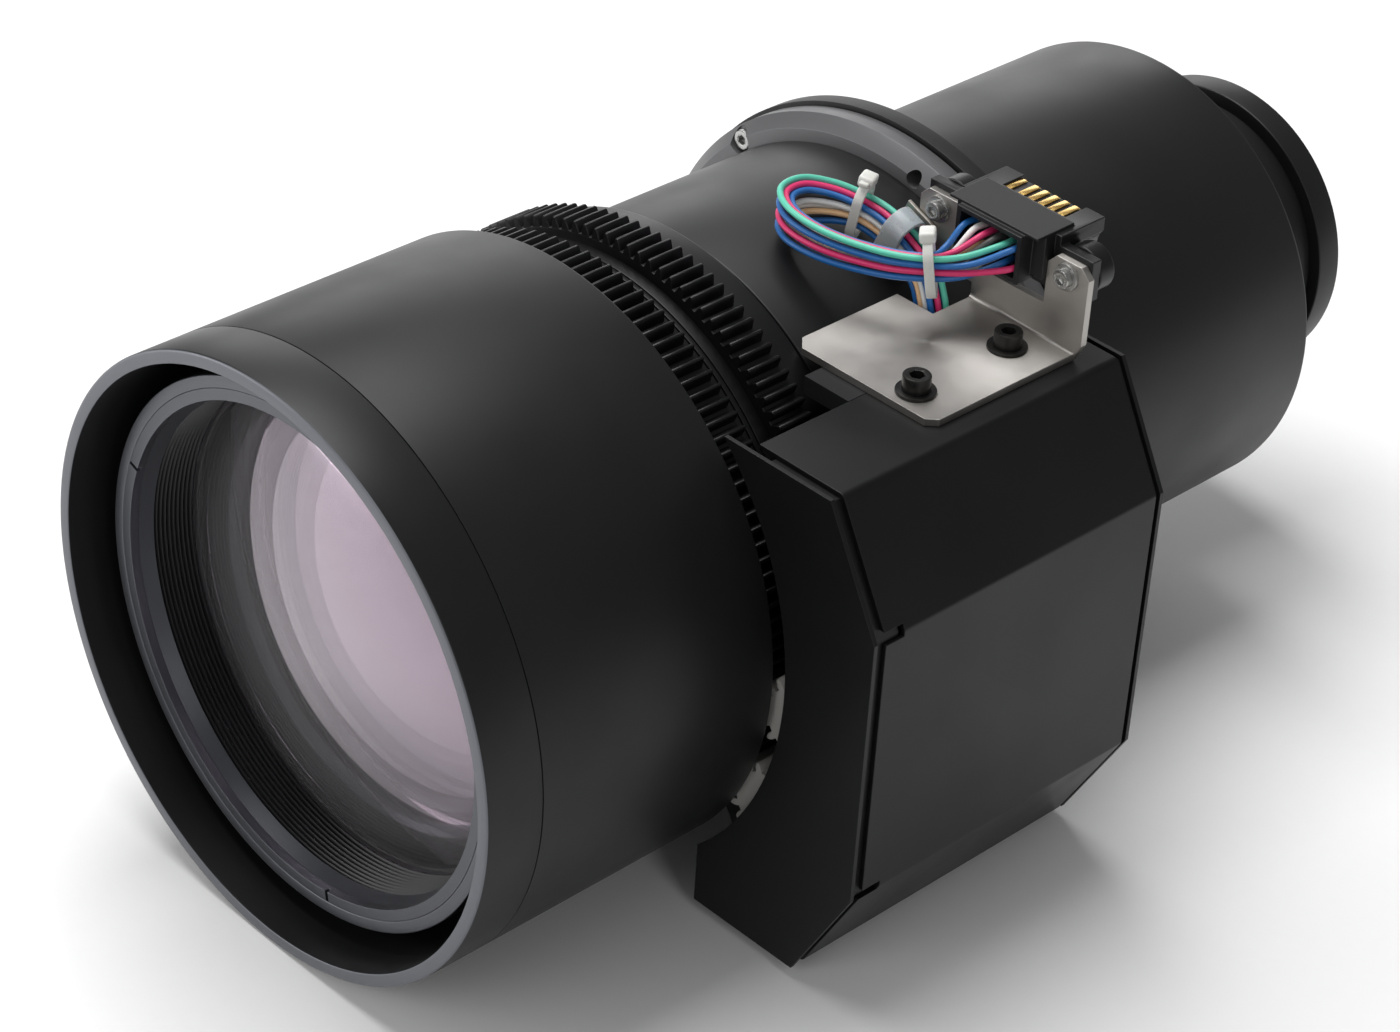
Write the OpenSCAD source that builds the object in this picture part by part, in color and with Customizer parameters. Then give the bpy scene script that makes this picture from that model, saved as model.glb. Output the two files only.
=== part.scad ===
// Motorised projection zoom lens.
// The optical axis is Y. The front of the hood faces -Y, +Z is up and the motor box is on the +X side.
// The origin is on the axis at the rear face of the flange, where the lens seats on its carrier.
// Lengths are in millimetres.

/* [Hood] */
// Outer diameter of the hood
hood_d = 160; // [156:0.5:164]
// Wall of the hood
hood_wall = 3.5; // [2.8:0.1:4]
// Length from the mouth of the hood to the flange seat
front_reach = 210; // [208:0.5:216]
// Length of the hood with its front ring
hood_len = 88.4; // [86:0.2:88.6]
// Length of the screwed-on front ring
front_ring_len = 16.3; // [12:0.1:20]
// Travel of the front group when focusing
focus_travel = 9; // [6:0.5:10]
// Turn of the focus ring over that travel, in degrees
focus_turn = 108; // [90:1:112]

/* [Front cell] */
// Outer radius of the front lens cell
cell_r = 70.5; // [70:0.1:72]
// Setback of the cell's front face behind the mouth of the hood
cell_setback = 9.6; // [8:0.1:12]
// Radius of the step between the cell face and the retaining ring
retainer_r = 67.3; // [67:0.1:68]
// Inner radius of the retaining ring
retainer_bore_r = 64.3; // [63.8:0.1:65]
// Thickness of the retaining ring
retainer_t = 2.5; // [2:0.1:3]
// Number of spanner slots in the retaining ring
retainer_slots = 3; // [2:1:4]
// Radius of the front element
front_glass_r = 66; // [65:0.1:66.4]
// Depth of the front element's edge behind the mouth of the hood
glass_depth = 28; // [26:0.5:30]

/* [Gear rings] */
// Module of the gear teeth
gear_module = 1.2; // [1.18:0.01:1.22]
// Teeth on each gear ring
ring_teeth = 126; // [126:1:126]
// Teeth on each pinion
pinion_teeth = 18; // [18:1:18]
// Width of the teeth
tooth_len = 10.6; // [9:0.1:11.2]
// Backlash at the pitch circle
backlash = 0.16; // [0.12:0.01:0.24]
// Outer radius of the neck that the gear rings run on
neck_r = 66; // [65:0.1:66.5]
// Turn of the zoom ring, in degrees
zoom_turn = 90; // [70:1:92]

/* [Zoom groups] */
// Travel of the variator group
variator_travel = 24; // [16:0.5:25]
// Travel of the compensator group
compensator_travel = 10; // [6:0.5:12]
// Radius of the cam follower pins
follower_r = 2.5; // [2:0.1:2.8]

/* [Barrels and flange] */
// Radius of the main barrel
barrel_r = 69.5; // [69:0.1:70]
// Visible length of the main barrel ahead of the flange
barrel_len = 63.7; // [62:0.1:64.5]
// Radius of the flange's front ring
flange_r = 76.5; // [75.5:0.1:78]
// Length of the flange's front ring
flange_ring_len = 9.1; // [7:0.1:10]
// Radius of the flange's seat ring
seat_r = 77.6; // [77:0.1:80]
// Thickness of the seat ring
seat_t = 5.9; // [5:0.1:8]
// Radius of the rear tube, which pilots the lens in its carrier
rear_r = 64.4; // [63.8:0.1:65]
// Length of the rear tube behind the seat
rear_len = 96; // [90:1:110]
// Radius of the rear cell's tube
rear_cell_r = 39.5; // [36:0.5:42]
// Radius of the rear cell's rim
rear_rim_r = 42.7; // [42.3:0.1:46]
// Reach of the rear cell behind the seat
rear_reach = 138.7; // [132:0.1:144]
// Diameter of the circle of flange holes
flange_hole_circle = 145; // [144.4:0.1:146]
// Radius of the flange mounting holes
flange_hole_r = 2.25; // [1.9:0.05:2.4]

/* [Motor box] */
// Side face of the box, from the optical axis
box_side = 110.5; // [108:0.5:116]
// Top face of the box, above the optical axis
box_top = 60; // [59:0.5:62]
// Bottom face of the box, below the optical axis
box_bottom = 77; // [74:0.5:84]
// Thickness of the box sheet
sheet_t = 1.2; // [1:0.1:1.5]
// Radius of the front cover's cut-out round the hood
cutout_r = 84; // [82:0.1:85]
// Length of the box along the optical axis
box_len = 100; // [98:0.5:101]
// Radius of each motor
motor_r = 12; // [10:0.1:12.4]
// Length of each motor
motor_len = 47; // [40:0.5:50]

/* [Connector bracket] */
// Thickness of the bracket
bracket_t = 2; // [1.6:0.1:2.4]
// Width of the bracket's plate
plate_w = 46; // [44:0.5:50]
// Length of the bracket's plate along the optical axis
plate_len = 51; // [49:0.5:53]
// Height of the connector screws above the plate
ear_screw_h = 19; // [18:0.5:21]
// Distance between the connector screws
ear_pitch = 41.6; // [41.4:0.1:44]
// Shank diameter of the bracket screws
cap_shank_d = 4; // [3:0.5:4]
// Head diameter of the bracket screws
cap_head_d = 7; // [6.6:0.1:8]
// Washer diameter under the bracket screws
washer_d = 10; // [9:0.1:11]

/* [Connector] */
// Width of the connector's wire-side frame
frame_w = 20.8; // [20.6:0.1:22]
// Height of the connector's wire-side frame
frame_h = 12.9; // [12.5:0.1:14]
// Width of the connector's body behind the bracket
body_w = 32; // [30:0.5:35]
// Spacing of the gold contacts
contact_pitch = 3.2; // [2.6:0.1:3.2]
// Number of gold contacts
contacts = 6; // [4:1:6]

/* [Harness] */
// Diameter of each lead
lead_d = 1.6; // [1.4:0.05:1.65]
// Width of each cable tie
tie_w = 2.5; // [2:0.1:3]

/* [Hidden] */

$fn = 96;
// One overrun for every cut
over = 1;
// Radial clearance of a running fit
running = 0.05;
// Radial clearance between pieces that stay put
snug = 0.01;
// Clearance between moving pieces that don't touch
free_gap = 0.3;

// Stations along the axis, worked out from the reach of the hood
mouth_y = -front_reach;
seam_y = mouth_y + front_ring_len;
hood_rear_y = mouth_y + hood_len;
hood_r = hood_d / 2;
hood_bore_r = hood_r - hood_wall;
seam_groove = 0.3;
spigot_len = 4;
spigot_r = hood_r - hood_wall / 2;
rim_chamfer = 0.6;

// Front cell
cell_y = mouth_y + cell_setback;
glass_y = mouth_y + glass_depth;
baffle_cone = 3.9;
baffle_lip_r = retainer_bore_r - 1;
baffle_step = 0.9;
baffle_pitch = 2.6;
glass_edge_t = 9;
cell_lip_r = 60.5;
cell_web_t = 4;
cell_web_y = glass_y + glass_edge_t + cell_web_t;
bore_r = neck_r - 3;
sleeve_r = bore_r - running;
sleeve_bore_r = 58;
sleeve_rear_y = mouth_y + 103;
hood_ledge = 2.5;
retainer_slot_w = 1;
glass_front_r = 190;
glass_back_r = 150;
glass_center_t = 14;
second_r = sleeve_bore_r - 0.02;
second_y = cell_web_y + 3;
second_edge_t = 8;
second_curve_r = 120;
second_lip = 3;
lens_steps = 10;
lens_land = 3.1;

// Gear rings
ring_pitch_r = gear_module * ring_teeth / 2;
pinion_pitch_r = gear_module * pinion_teeth / 2;
axle_r = ring_pitch_r + pinion_pitch_r;
tooth_angle = 360 / ring_teeth;
pressure_angle = 20;
addendum = gear_module;
dedendum = 1.25 * gear_module;
flank_steps = 3;
root_r = ring_pitch_r - dedendum;
hub_r = 71.5;
hood_to_teeth = 1.6;
focus_teeth_y = hood_rear_y + hood_to_teeth;
ring_lap = 1;
focus_hub = 3.4;
focus_ring_rear_y = focus_teeth_y + tooth_len + focus_hub;
spacer_t = 1.4;
spacer_y = focus_ring_rear_y + free_gap;
zoom_ring_y = spacer_y + spacer_t + free_gap;
zoom_hub = 3.4;
zoom_teeth_y = zoom_ring_y + zoom_hub;
zoom_land_len = 7.6;
zoom_land_r = 73.5;
zoom_ring_rear_y = zoom_teeth_y + tooth_len + zoom_land_len;
barrel_y = -seat_t - flange_ring_len - barrel_len;
zoom_tail_r = neck_r + 2;
ring_bore_r = neck_r + running;
skirt_len = 27;
skirt_r = 70;
skirt_y = focus_teeth_y - ring_lap - skirt_len;
neck_y = skirt_y - 2;
retainer_ring_t = neck_y - skirt_y;
groove_depth = 2.5;

// Focus followers
focus_pin_y = focus_teeth_y - 8;
focus_pins = 3;
focus_pin_angle = 60;
pin_seat = 2.4;
slot_clear = 0.3;
helix_steps = 12;

// Zoom barrels
cam_r = 58;
guide_r = 55;
guide_bore_r = 51;
guide_y = mouth_y + 104;
guide_lip_t = 1.6;
guide_lip_r = guide_r + 2;
guide_web_t = 4;
guide_rear_y = -seat_t;
cam_y = guide_y + guide_lip_t + free_gap;
cam_rear_y = guide_rear_y - guide_web_t - free_gap;
drive_pin_r = 2;
drive_pin_y = zoom_teeth_y + tooth_len + 2;
drive_pin_outer_r = zoom_land_r - 1.5;
variator_pin_y = mouth_y + 121;
variator_len = 22;
compensator_pin_y = -30;
compensator_len = 20;
carrier_r = guide_bore_r - running;
carrier_wall = 7;
follower_tip_r = cam_r - 0.4;
follower_root_r = carrier_r - 4;
follower_angle = 90;
drive_angle = follower_angle - 15;
variator_lens_r = carrier_r - carrier_wall + 2;
compensator_lens_r = carrier_r - carrier_wall + 3;
carrier_lens_t = 7;
carrier_curve_r = 90;
carrier_lip = 1.6;

// Rear
stop_y = 14;
stop_t = 2;
stop_hole_r = 22;
rear_wall = 3.4;
pilot_y = 1;
pilot_relief = 0.6;
rear_bore_r = rear_r - rear_wall;
rear_wall_t = 4;
relay_y = 22;
relay_len = 50;
relay_wall = 12;
relay_lens_r = 42;
relay_lens_y = 34;
relay_lens_t = 10;
relay_curve_r = 110;
relay_lip = 3;
rear_rim_len = 10.7;
rear_bore_cell_r = rear_cell_r - 4;
rear_collar_t = 3;
rear_collar_r = rear_cell_r + 6;
rear_rim_y = rear_reach - rear_rim_len;
rear_glass_y = rear_reach - 17;
rear_glass_t = 7;
rear_curve_r = 85;
rear_ring_t = 3;
rear_ring_w = 3;
rear_rim_chamfer = 2;

// Flange
seat_bevel = 0.9;
flange_chamfer = 3.5;
flange_groove = 0.7;
flange_groove_depth = 2.5;
flange_screw_count = 3;
flange_screw_angle = 10;
flange_hole_angle = 78;
flange_screw_r = 1.5;
flange_head_r = 2.75;
flange_head_h = 2.4;
flange_pocket_r = 3.6;
flange_pocket_depth = 3.4;
tap_depth = 4;

// Box outline: each corner is a distance from the axis
box_front_y = hood_rear_y - 0.4;
box_rear_y = box_front_y + box_len;
top_corner_x = 93.5;
slant_z = 29.2;
chamfer_z = 45.5;
bottom_corner_x = 93.3;
top_edge_x = 66.5;
bottom_edge_x = 59;
cover_reveal = 2.8;
cover_lip_len = 8;
rear_cutout_r = barrel_r + 1;
box_lip_start_x = 72;
relief_w = 3;
relief_len = 6;

// Chassis
chassis_t = 2.5;
chassis_front_t = 2;
chassis_inset = 5;
chassis_y = barrel_y + 1;
chassis_front_y = zoom_ring_y - 2.6;
chassis_arc_r = ring_pitch_r + addendum + 1.7;
tab_t = 3.8;
tab_x = 52;
tab_edge_x = 92;
tab_front_y = mouth_y + 121;
tab_rear_y = tab_front_y + 54;
tab_arm_w = 4;
tab_notch_y = -50;
inner_corners = [[62, -72], [50, -54], [50, 42]];
web_x = 104;
web_low_z = -40;
web_high_z = 22;
post_r = 3.5;
post_hole_r = 1.5;
post_places = [[97, 38], [100, -45], [72, -66]];
box_head_r = 2.8;
box_head_h = 1.8;
shaft_r = 2;
shaft_bore = 6;
block_size = [8, 13, 13];
focus_pinion_step = -2;
focus_sensor_step = -9;
zoom_pinion_step = 4;
zoom_sensor_step = 11;
pinion_inset = 0.4;
sensor_r = 7.5;
sensor_len = 9;
collar_r = 3.4;
foot_len = 12;
foot_w = 9;
foot_h = 4;
foot_angles = [34, -38];
chassis_screw_r = 1.5;
chassis_head_r = 2.75;
chassis_head_h = 2;

// Bracket and connector
plate_x = box_side - 69;
plate_y = mouth_y + 127;
plate_z = box_top;
plate_top = plate_z + bracket_t;
ear_plane_y = plate_y + plate_len - bracket_t;
plate_chamfer = 2.5;
plate_corner = 3.4;
ear_center_x = plate_x + plate_w - 25.5;
ear_w = 13;
ear_h = 23;
ear_chamfer = 2.6;
ear_screw_z = plate_top + ear_screw_h;
notch_z = plate_top + 9;
ear_drop = 4;
plate_notch_w = 12;
plate_notch_len = 13;
cap_screw_x = 75.5;
cap_screw_y = [plate_y + 7, plate_y + 38.5];
cap_head_h = 4;
cap_socket_r = 1.7;
cap_socket_depth = 2.2;
washer_t = 0.8;
cap_len = 8;
frame_z = plate_top + 14;
frame_depth = 5;
frame_wall = 1.3;
frame_front_y = ear_plane_y - 6;
frame_step = 1.5;
body_z = frame_z - 2;
body_top = frame_z + frame_h;
body_y = ear_plane_y + bracket_t;
body_len = 8;
lug_t = 3;
lug_z = ear_screw_z - 5.4;
lug_h = 10.8;
lug_reach = 5.6;
tongue_z = frame_z + 1;
tongue_drop = 0.8;
tongue_top = body_top - tongue_drop;
tongue_len = 7;
contact_border = 2;
tongue_w = (contacts - 1) * contact_pitch + 2 * contact_border;
wing_w = (body_w - tongue_w) / 2;
wing_len = 7.6;
wing_top = body_top;
contact_w = 1.9;
contact_t = 0.4;
contact_gap_share = 0.3;
roof_h = 0.8;
roof_inset = 1.5;
bush_r = 6;
bush_len = 5;
bush_neck_r = 2.6;
ear_hole_r = 1.7;
ear_screw_r = 1.45;
ear_head_r = 2.4;
ear_head_h = 1.8;
ear_socket_r = 1.2;
ear_washer_r = 3.5;
ear_washer_t = 1;

// Harness: the middle of the bundle, from the connector round its loop and down into the box
harness_route = [[62, -36, 82.4], [60, -46, 79.6], [55.5, -52, 77.6], [46, -58, 76.8], [32, -62.5, 76.4],
  [20, -62.5, 76.4], [12.5, -58, 76.4], [11.5, -51, 76.2], [16, -45, 75.6], [22, -41.5, 74.8],
  [28, -39.9, 73.4], [34, -39.9, 71.6], [40, -39.9, 68.6], [44.6, -40.4, 64.6], [46.9, -40.8, 60.6],
  [48.6, -41, 56.4], [52.4, -41.5, 52], [57.6, -42, 48.2], [63.4, -42, 44.6], [69, -42, 40],
  [73.6, -42, 35.4], [77.4, -42, 33], [80, -42, 33]];
// How far the leads fan out at each point of the route
fan_share = [1, 1, 0.97, 1.1, 1.35, 1.55, 1.65, 1.6, 1.3, 1, 1, 1, 1, 1, 1, 1, 1, 1, 1, 1, 1, 1, 1];
narrow_share = 0.3;
lead_gap = 0.25;
bundle_start = 2;
approach_share = 0.85;
lead_pitch = lead_d + lead_gap;
lead_rows = 3;
lead_cols = 4;
entry_cols = 6;
entry_pitch = 3.1;
entry_drop = 5.2;
lead_sides = 8;
tie_gap = 0.85;
tie_t = 1.1;
tie_head = [4.6, 3, 4];
tie_points = [2, 9];
clip_point = 11;
clip_w = 6;
clip_t = 1.3;
clip_foot_size = [1, 13, 10];

// Shape helpers

// Extrudes a flat shape, drawn in X and Z, from one station to another
module along(y0, y1) {
  translate([0, y1, 0]) rotate([90, 0, 0]) linear_extrude(y1 - y0) children();
}

// Turns an outline of [radius, station] points about the optical axis
module turned(points) {
  rotate([-90, 0, 0]) rotate_extrude() polygon(points);
}

module tube(y0, y1, inner, outer) {
  along(y0, y1) difference() {
    circle(outer);
    circle(inner);
  }
}

// A radial peg at an angle from +X towards +Z
module radial(angle, y, r, from_r, to_r) {
  rotate([0, -angle, 0]) translate([from_r, y, 0]) rotate([0, 90, 0]) cylinder(h = to_r - from_r, r = r);
}

// A slot along the axis, cut through a wall
module straight_slot(angle, y0, y1, w, from_r, to_r) {
  radial(angle, y0, w / 2, from_r, to_r);
  radial(angle, y1, w / 2, from_r, to_r);
  rotate([0, -angle, 0]) translate([from_r, y0, -w / 2]) cube([to_r - from_r, y1 - y0, w]);
}

// A slot that climbs evenly while it goes round, in short straight steps
module climbing_slot(angle, turn, y0, travel, w, from_r, to_r) {
  step = turn / helix_steps;
  run = to_r * sin(step / 2) * 2;
  climb = travel / helix_steps;
  slope = atan2(climb, to_r * step * PI / 180);
  for (i = [0 : helix_steps - 1])
    rotate([0, -angle - step * (i + 1 / 2), 0])
      translate([(from_r + to_r) / 2, y0 + climb * (i + 1 / 2), 0])
        rotate([-slope, 0, 0])
          cube([to_r - from_r, w, run / cos(slope) + w * sin(step)], center = true);
  radial(angle, y0, w / 2, from_r, to_r);
  radial(angle + turn, y0 + travel, w / 2, from_r, to_r);
}

// A slot that goes round at one station, with square ends
module round_slot(angle, turn, y, w, from_r, to_r) {
  past = asin(w / 2 / from_r);
  step = (turn + 2 * past) / helix_steps;
  along(y - w / 2, y + w / 2) polygon(concat(
    [for (i = [0 : helix_steps]) on_circle(from_r, angle - past + step * i)],
    [for (i = [helix_steps : -1 : 0]) on_circle(to_r, angle - past + step * i)]
  ));
}

// Involute teeth
function involute(base, r) = r <= base ? 0 : sqrt(pow(r / base, 2) - 1) * 180 / PI - acos(base / r);
function half_tooth(teeth, pitch, base, r) =
  90 / teeth - backlash / 4 / pitch * 180 / PI + involute(base, pitch) - involute(base, r);
function on_circle(r, angle) = [r * cos(angle), r * sin(angle)];
function gear_outline(teeth) =
  let (
    pitch = gear_module * teeth / 2,
    base = pitch * cos(pressure_angle),
    low = pitch - dedendum,
    start = max(low, base),
    high = pitch + addendum,
    levels = [for (i = [0 : flank_steps]) start + (high - start) * i / flank_steps]
  )
  [for (tooth = [0 : teeth - 1])
    let (middle = tooth * 360 / teeth)
    each concat(
      low < start ? [on_circle(low, middle - half_tooth(teeth, pitch, base, start))] : [],
      [for (r = levels) on_circle(r, middle - half_tooth(teeth, pitch, base, r))],
      [for (i = [flank_steps : -1 : 0]) on_circle(levels[i], middle + half_tooth(teeth, pitch, base,
        levels[i]))],
      low < start ? [on_circle(low, middle + half_tooth(teeth, pitch, base, start))] : []
    )];

function axle_place(step) = [axle_r * cos(step * tooth_angle), axle_r * sin(step * tooth_angle)];

// A pinion whose gap faces the ring it meshes with
module pinion(step, y, shaft_front_y) {
  place = axle_place(step);
  shaft_rear_y = chassis_y + chassis_t + shaft_bore - 1.2 * shaft_r / 2;
  translate([place[0], 0, place[1]]) {
    along(y + pinion_inset, y + tooth_len - pinion_inset)
      rotate(step * tooth_angle + 180 + 180 / pinion_teeth)
        polygon(gear_outline(pinion_teeth));
    along(shaft_front_y, shaft_rear_y) circle(shaft_r);
    along(y + tooth_len - pinion_inset, y + tooth_len + pinion_inset) circle(collar_r);
  }
}

// A lens turned from its outline: front and back are 1 for a surface that bulges out, -1 for a hollow one
function sag(curve_r, r) = curve_r - sqrt(curve_r * curve_r - r * r);
module lens(y, r, edge, front, back, front_r, back_r) {
  clear = r - lens_land;
  levels = [for (i = [0 : lens_steps]) clear * i / lens_steps];
  turned(concat(
    [for (at = levels) [at, y - front * (sag(front_r, clear) - sag(front_r, at))]],
    [[r, y], [r, y + edge]],
    [for (i = [lens_steps : -1 : 0])
      [levels[i], y + edge + back * (sag(back_r, clear) - sag(back_r, levels[i]))]]
  ));
}

// Front group

module hood() {
  color("#17181a") difference() {
    union() {
      tube(seam_y, hood_rear_y, hood_bore_r, hood_r);
      tube(seam_y - spigot_len, seam_y, hood_bore_r, spigot_r);
      tube(cell_web_y, cell_web_y + cell_web_t, hood_bore_r - hood_ledge, hood_r - hood_wall / 2);
    }
    tube(seam_y - over, seam_y + seam_groove, hood_r - seam_groove, hood_r + over);
  }
}

module hood_front_ring() {
  color("#1b1c1e") turned([
    [hood_bore_r, mouth_y],
    [hood_r - rim_chamfer, mouth_y],
    [hood_r, mouth_y + rim_chamfer],
    [hood_r, seam_y],
    [spigot_r + snug, seam_y],
    [spigot_r + snug, seam_y - spigot_len],
    [hood_bore_r, seam_y - spigot_len]
  ]);
}

module front_cell() {
  ledge_y = glass_y + glass_edge_t;
  color("#6d7078") difference() {
    union() {
      turned([
        [retainer_r, cell_y],
        [cell_r, cell_y],
        [cell_r, cell_web_y - cell_web_t],
        [hood_bore_r - snug, cell_web_y - cell_web_t],
        [hood_bore_r - snug, cell_web_y],
        [sleeve_r, cell_web_y],
        [sleeve_r, sleeve_rear_y],
        [sleeve_bore_r, sleeve_rear_y],
        [sleeve_bore_r, cell_web_y],
        [cell_lip_r, cell_web_y],
        [cell_lip_r, ledge_y],
        [front_glass_r + snug, ledge_y],
        [front_glass_r + snug, cell_y + retainer_t],
        [retainer_r, cell_y + retainer_t]
      ]);
      tube(second_y + second_edge_t, second_y + second_edge_t + second_lip, sleeve_bore_r - second_lip,
        sleeve_bore_r);
    }
    for (i = [0 : focus_pins - 1])
      radial(focus_pin_angle + i * 360 / focus_pins, focus_pin_y, follower_r + snug, sleeve_r - pin_seat,
        sleeve_r + over);
  }
}

module front_retaining_ring() {
  color("#85878f") difference() {
    tube(cell_y, cell_y + retainer_t, retainer_bore_r, retainer_r - snug);
    for (i = [0 : retainer_slots - 1])
      rotate([0, -40 - i * 360 / retainer_slots, 0])
        translate([retainer_bore_r - over, cell_y - over, -retainer_slot_w / 2])
          cube([hood_wall + over, retainer_t * 1 / 2 + over, retainer_slot_w]);
  }
}

module front_baffle() {
  baffle_y = cell_y + retainer_t;
  ribs = floor((glass_y - baffle_y - baffle_cone) / baffle_pitch);
  color("#2a2b2d") turned(concat(
    [[front_glass_r, glass_y], [front_glass_r, baffle_y], [retainer_bore_r, baffle_y], [baffle_lip_r,
      baffle_y + baffle_cone]],
    [for (i = [0 : ribs - 1])
      each [
        [baffle_lip_r + baffle_step, baffle_y + baffle_cone + i * baffle_pitch],
        [baffle_lip_r, baffle_y + baffle_cone + (i + 1) * baffle_pitch]
      ]],
    [[baffle_lip_r, glass_y]]
  ));
}

module front_element() {
  color("#a9c4d6", 0.4)
    lens(glass_y, front_glass_r, glass_edge_t, 1, -1, glass_front_r, glass_back_r);
}

module second_element() {
  color("#c8b7d4", 0.4)
    lens(second_y, second_r, second_edge_t, 1, -1, second_curve_r, glass_front_r);
}

module focus_follower_pins() {
  color("#b9a25a")
    for (i = [0 : focus_pins - 1])
      radial(focus_pin_angle + i * 360 / focus_pins, focus_pin_y, follower_r, sleeve_r - pin_seat,
        ring_bore_r + groove_depth - free_gap);
}

// Gear rings

module focus_gear_ring() {
  color("#141414") difference() {
    union() {
      along(focus_teeth_y, focus_teeth_y + tooth_len) polygon(gear_outline(ring_teeth));
      along(focus_teeth_y - ring_lap, focus_ring_rear_y) circle(hub_r);
      along(skirt_y, focus_teeth_y) circle(skirt_r);
    }
    along(skirt_y - over, focus_ring_rear_y + over) circle(ring_bore_r);
    for (i = [0 : focus_pins - 1])
      climbing_slot(focus_pin_angle + i * 360 / focus_pins, focus_turn, focus_pin_y, -focus_travel,
        2 * (follower_r + slot_clear), ring_bore_r - over, ring_bore_r + groove_depth);
  }
}

module zoom_gear_ring() {
  color("#141414") difference() {
    union() {
      along(zoom_teeth_y, zoom_teeth_y + tooth_len) polygon(gear_outline(ring_teeth));
      along(zoom_ring_y, zoom_teeth_y) circle(hub_r);
      along(zoom_teeth_y + tooth_len, zoom_ring_rear_y) circle(zoom_land_r);
      along(zoom_ring_rear_y, barrel_y - free_gap) circle(zoom_tail_r);
    }
    along(zoom_ring_y - over, barrel_y) circle(ring_bore_r);
    for (i = [0 : focus_pins - 1])
      radial(drive_angle + i * 360 / focus_pins, drive_pin_y, drive_pin_r + snug, neck_r,
        drive_pin_outer_r + snug);
  }
}

module zoom_drive_pins() {
  color("#b9a25a")
    for (i = [0 : focus_pins - 1])
      radial(drive_angle + i * 360 / focus_pins, drive_pin_y, drive_pin_r, cam_r - 1.5, drive_pin_outer_r);
}

module cam_barrel() {
  color("#8d9096") difference() {
    tube(cam_y, cam_rear_y, guide_r + running, cam_r);
    for (i = [0 : focus_pins - 1]) {
      turn_to = i * 360 / focus_pins;
      climbing_slot(follower_angle + turn_to, zoom_turn, variator_pin_y, variator_travel,
        2 * (follower_r + slot_clear), guide_r - over, cam_r + over);
      climbing_slot(follower_angle + turn_to, zoom_turn, compensator_pin_y, -compensator_travel,
        2 * (follower_r + slot_clear), guide_r - over, cam_r + over);
      radial(drive_angle + turn_to, drive_pin_y, drive_pin_r + snug, cam_r - 1.5 - snug, cam_r + over);
    }
  }
}

// Zoom groups

module carrier(pin_y, len, lens_r) {
  difference() {
    tube(pin_y - len / 2, pin_y + len / 2, carrier_r - carrier_wall, carrier_r);
    along(pin_y - len / 2 - over, pin_y + carrier_lens_t / 2) circle(lens_r + snug);
    for (i = [0 : focus_pins - 1])
      radial(follower_angle + i * 360 / focus_pins, pin_y, follower_r + snug, follower_root_r,
        carrier_r + over);
  }
}

module carrier_pins(pin_y) {
  for (i = [0 : focus_pins - 1])
    radial(follower_angle + i * 360 / focus_pins, pin_y, follower_r, follower_root_r, follower_tip_r);
}

module variator_carrier() {
  color("#2c2d30") carrier(variator_pin_y, variator_len, variator_lens_r);
}

module variator_lens() {
  color("#a9c4d6", 0.4)
    lens(variator_pin_y - carrier_lens_t / 2, variator_lens_r, carrier_lens_t, -1, -1, carrier_curve_r * 4,
      carrier_curve_r * 4);
}

module variator_pins() {
  color("#b9a25a") carrier_pins(variator_pin_y);
}

module compensator_carrier() {
  color("#2c2d30") carrier(compensator_pin_y, compensator_len, compensator_lens_r);
}

module compensator_lens() {
  color("#a9c4d6", 0.4)
    lens(compensator_pin_y - carrier_lens_t / 2, compensator_lens_r, carrier_lens_t, 1, 1,
      carrier_curve_r * 2, carrier_curve_r * 2);
}

module compensator_pins() {
  color("#b9a25a") carrier_pins(compensator_pin_y);
}

// Pinions

module focus_pinion() {
  color("#d9dadb") pinion(focus_pinion_step, focus_teeth_y, focus_teeth_y + pinion_inset);
}

module focus_sensor_gear() {
  color("#d9dadb") pinion(focus_sensor_step, focus_teeth_y, focus_teeth_y + pinion_inset);
}

module zoom_pinion() {
  color("#d9dadb") pinion(zoom_pinion_step, zoom_teeth_y, chassis_front_y);
}

module zoom_sensor_gear() {
  color("#d9dadb") pinion(zoom_sensor_step, zoom_teeth_y, chassis_front_y);
}

// Barrels

module main_barrel() {
  color("#1d1c1b") difference() {
    union() {
      along(neck_y, barrel_y) circle(neck_r);
      along(barrel_y, -seat_t) circle(barrel_r);
    }
    along(neck_y - over, -seat_t + over) circle(bore_r);
    for (i = [0 : focus_pins - 1]) {
      turn_to = i * 360 / focus_pins;
      straight_slot(focus_pin_angle + turn_to, focus_pin_y - focus_travel, focus_pin_y,
        2 * (follower_r + slot_clear), bore_r - over, neck_r + over);
      round_slot(drive_angle + turn_to - zoom_turn, zoom_turn, drive_pin_y,
        2 * (drive_pin_r + slot_clear), bore_r - over, neck_r + over);
    }
    for (angle = foot_angles)
      radial(angle, chassis_y + chassis_t + foot_len / 2, chassis_screw_r, bore_r - over, barrel_r + over);
  }
}

module ring_spacer() {
  color("#101010") tube(spacer_y, spacer_y + spacer_t, neck_r + snug, hub_r);
}

module focus_ring_retainer() {
  color("#202124") tube(neck_y, skirt_y - free_gap, neck_r + snug, skirt_r - 1);
}

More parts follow.
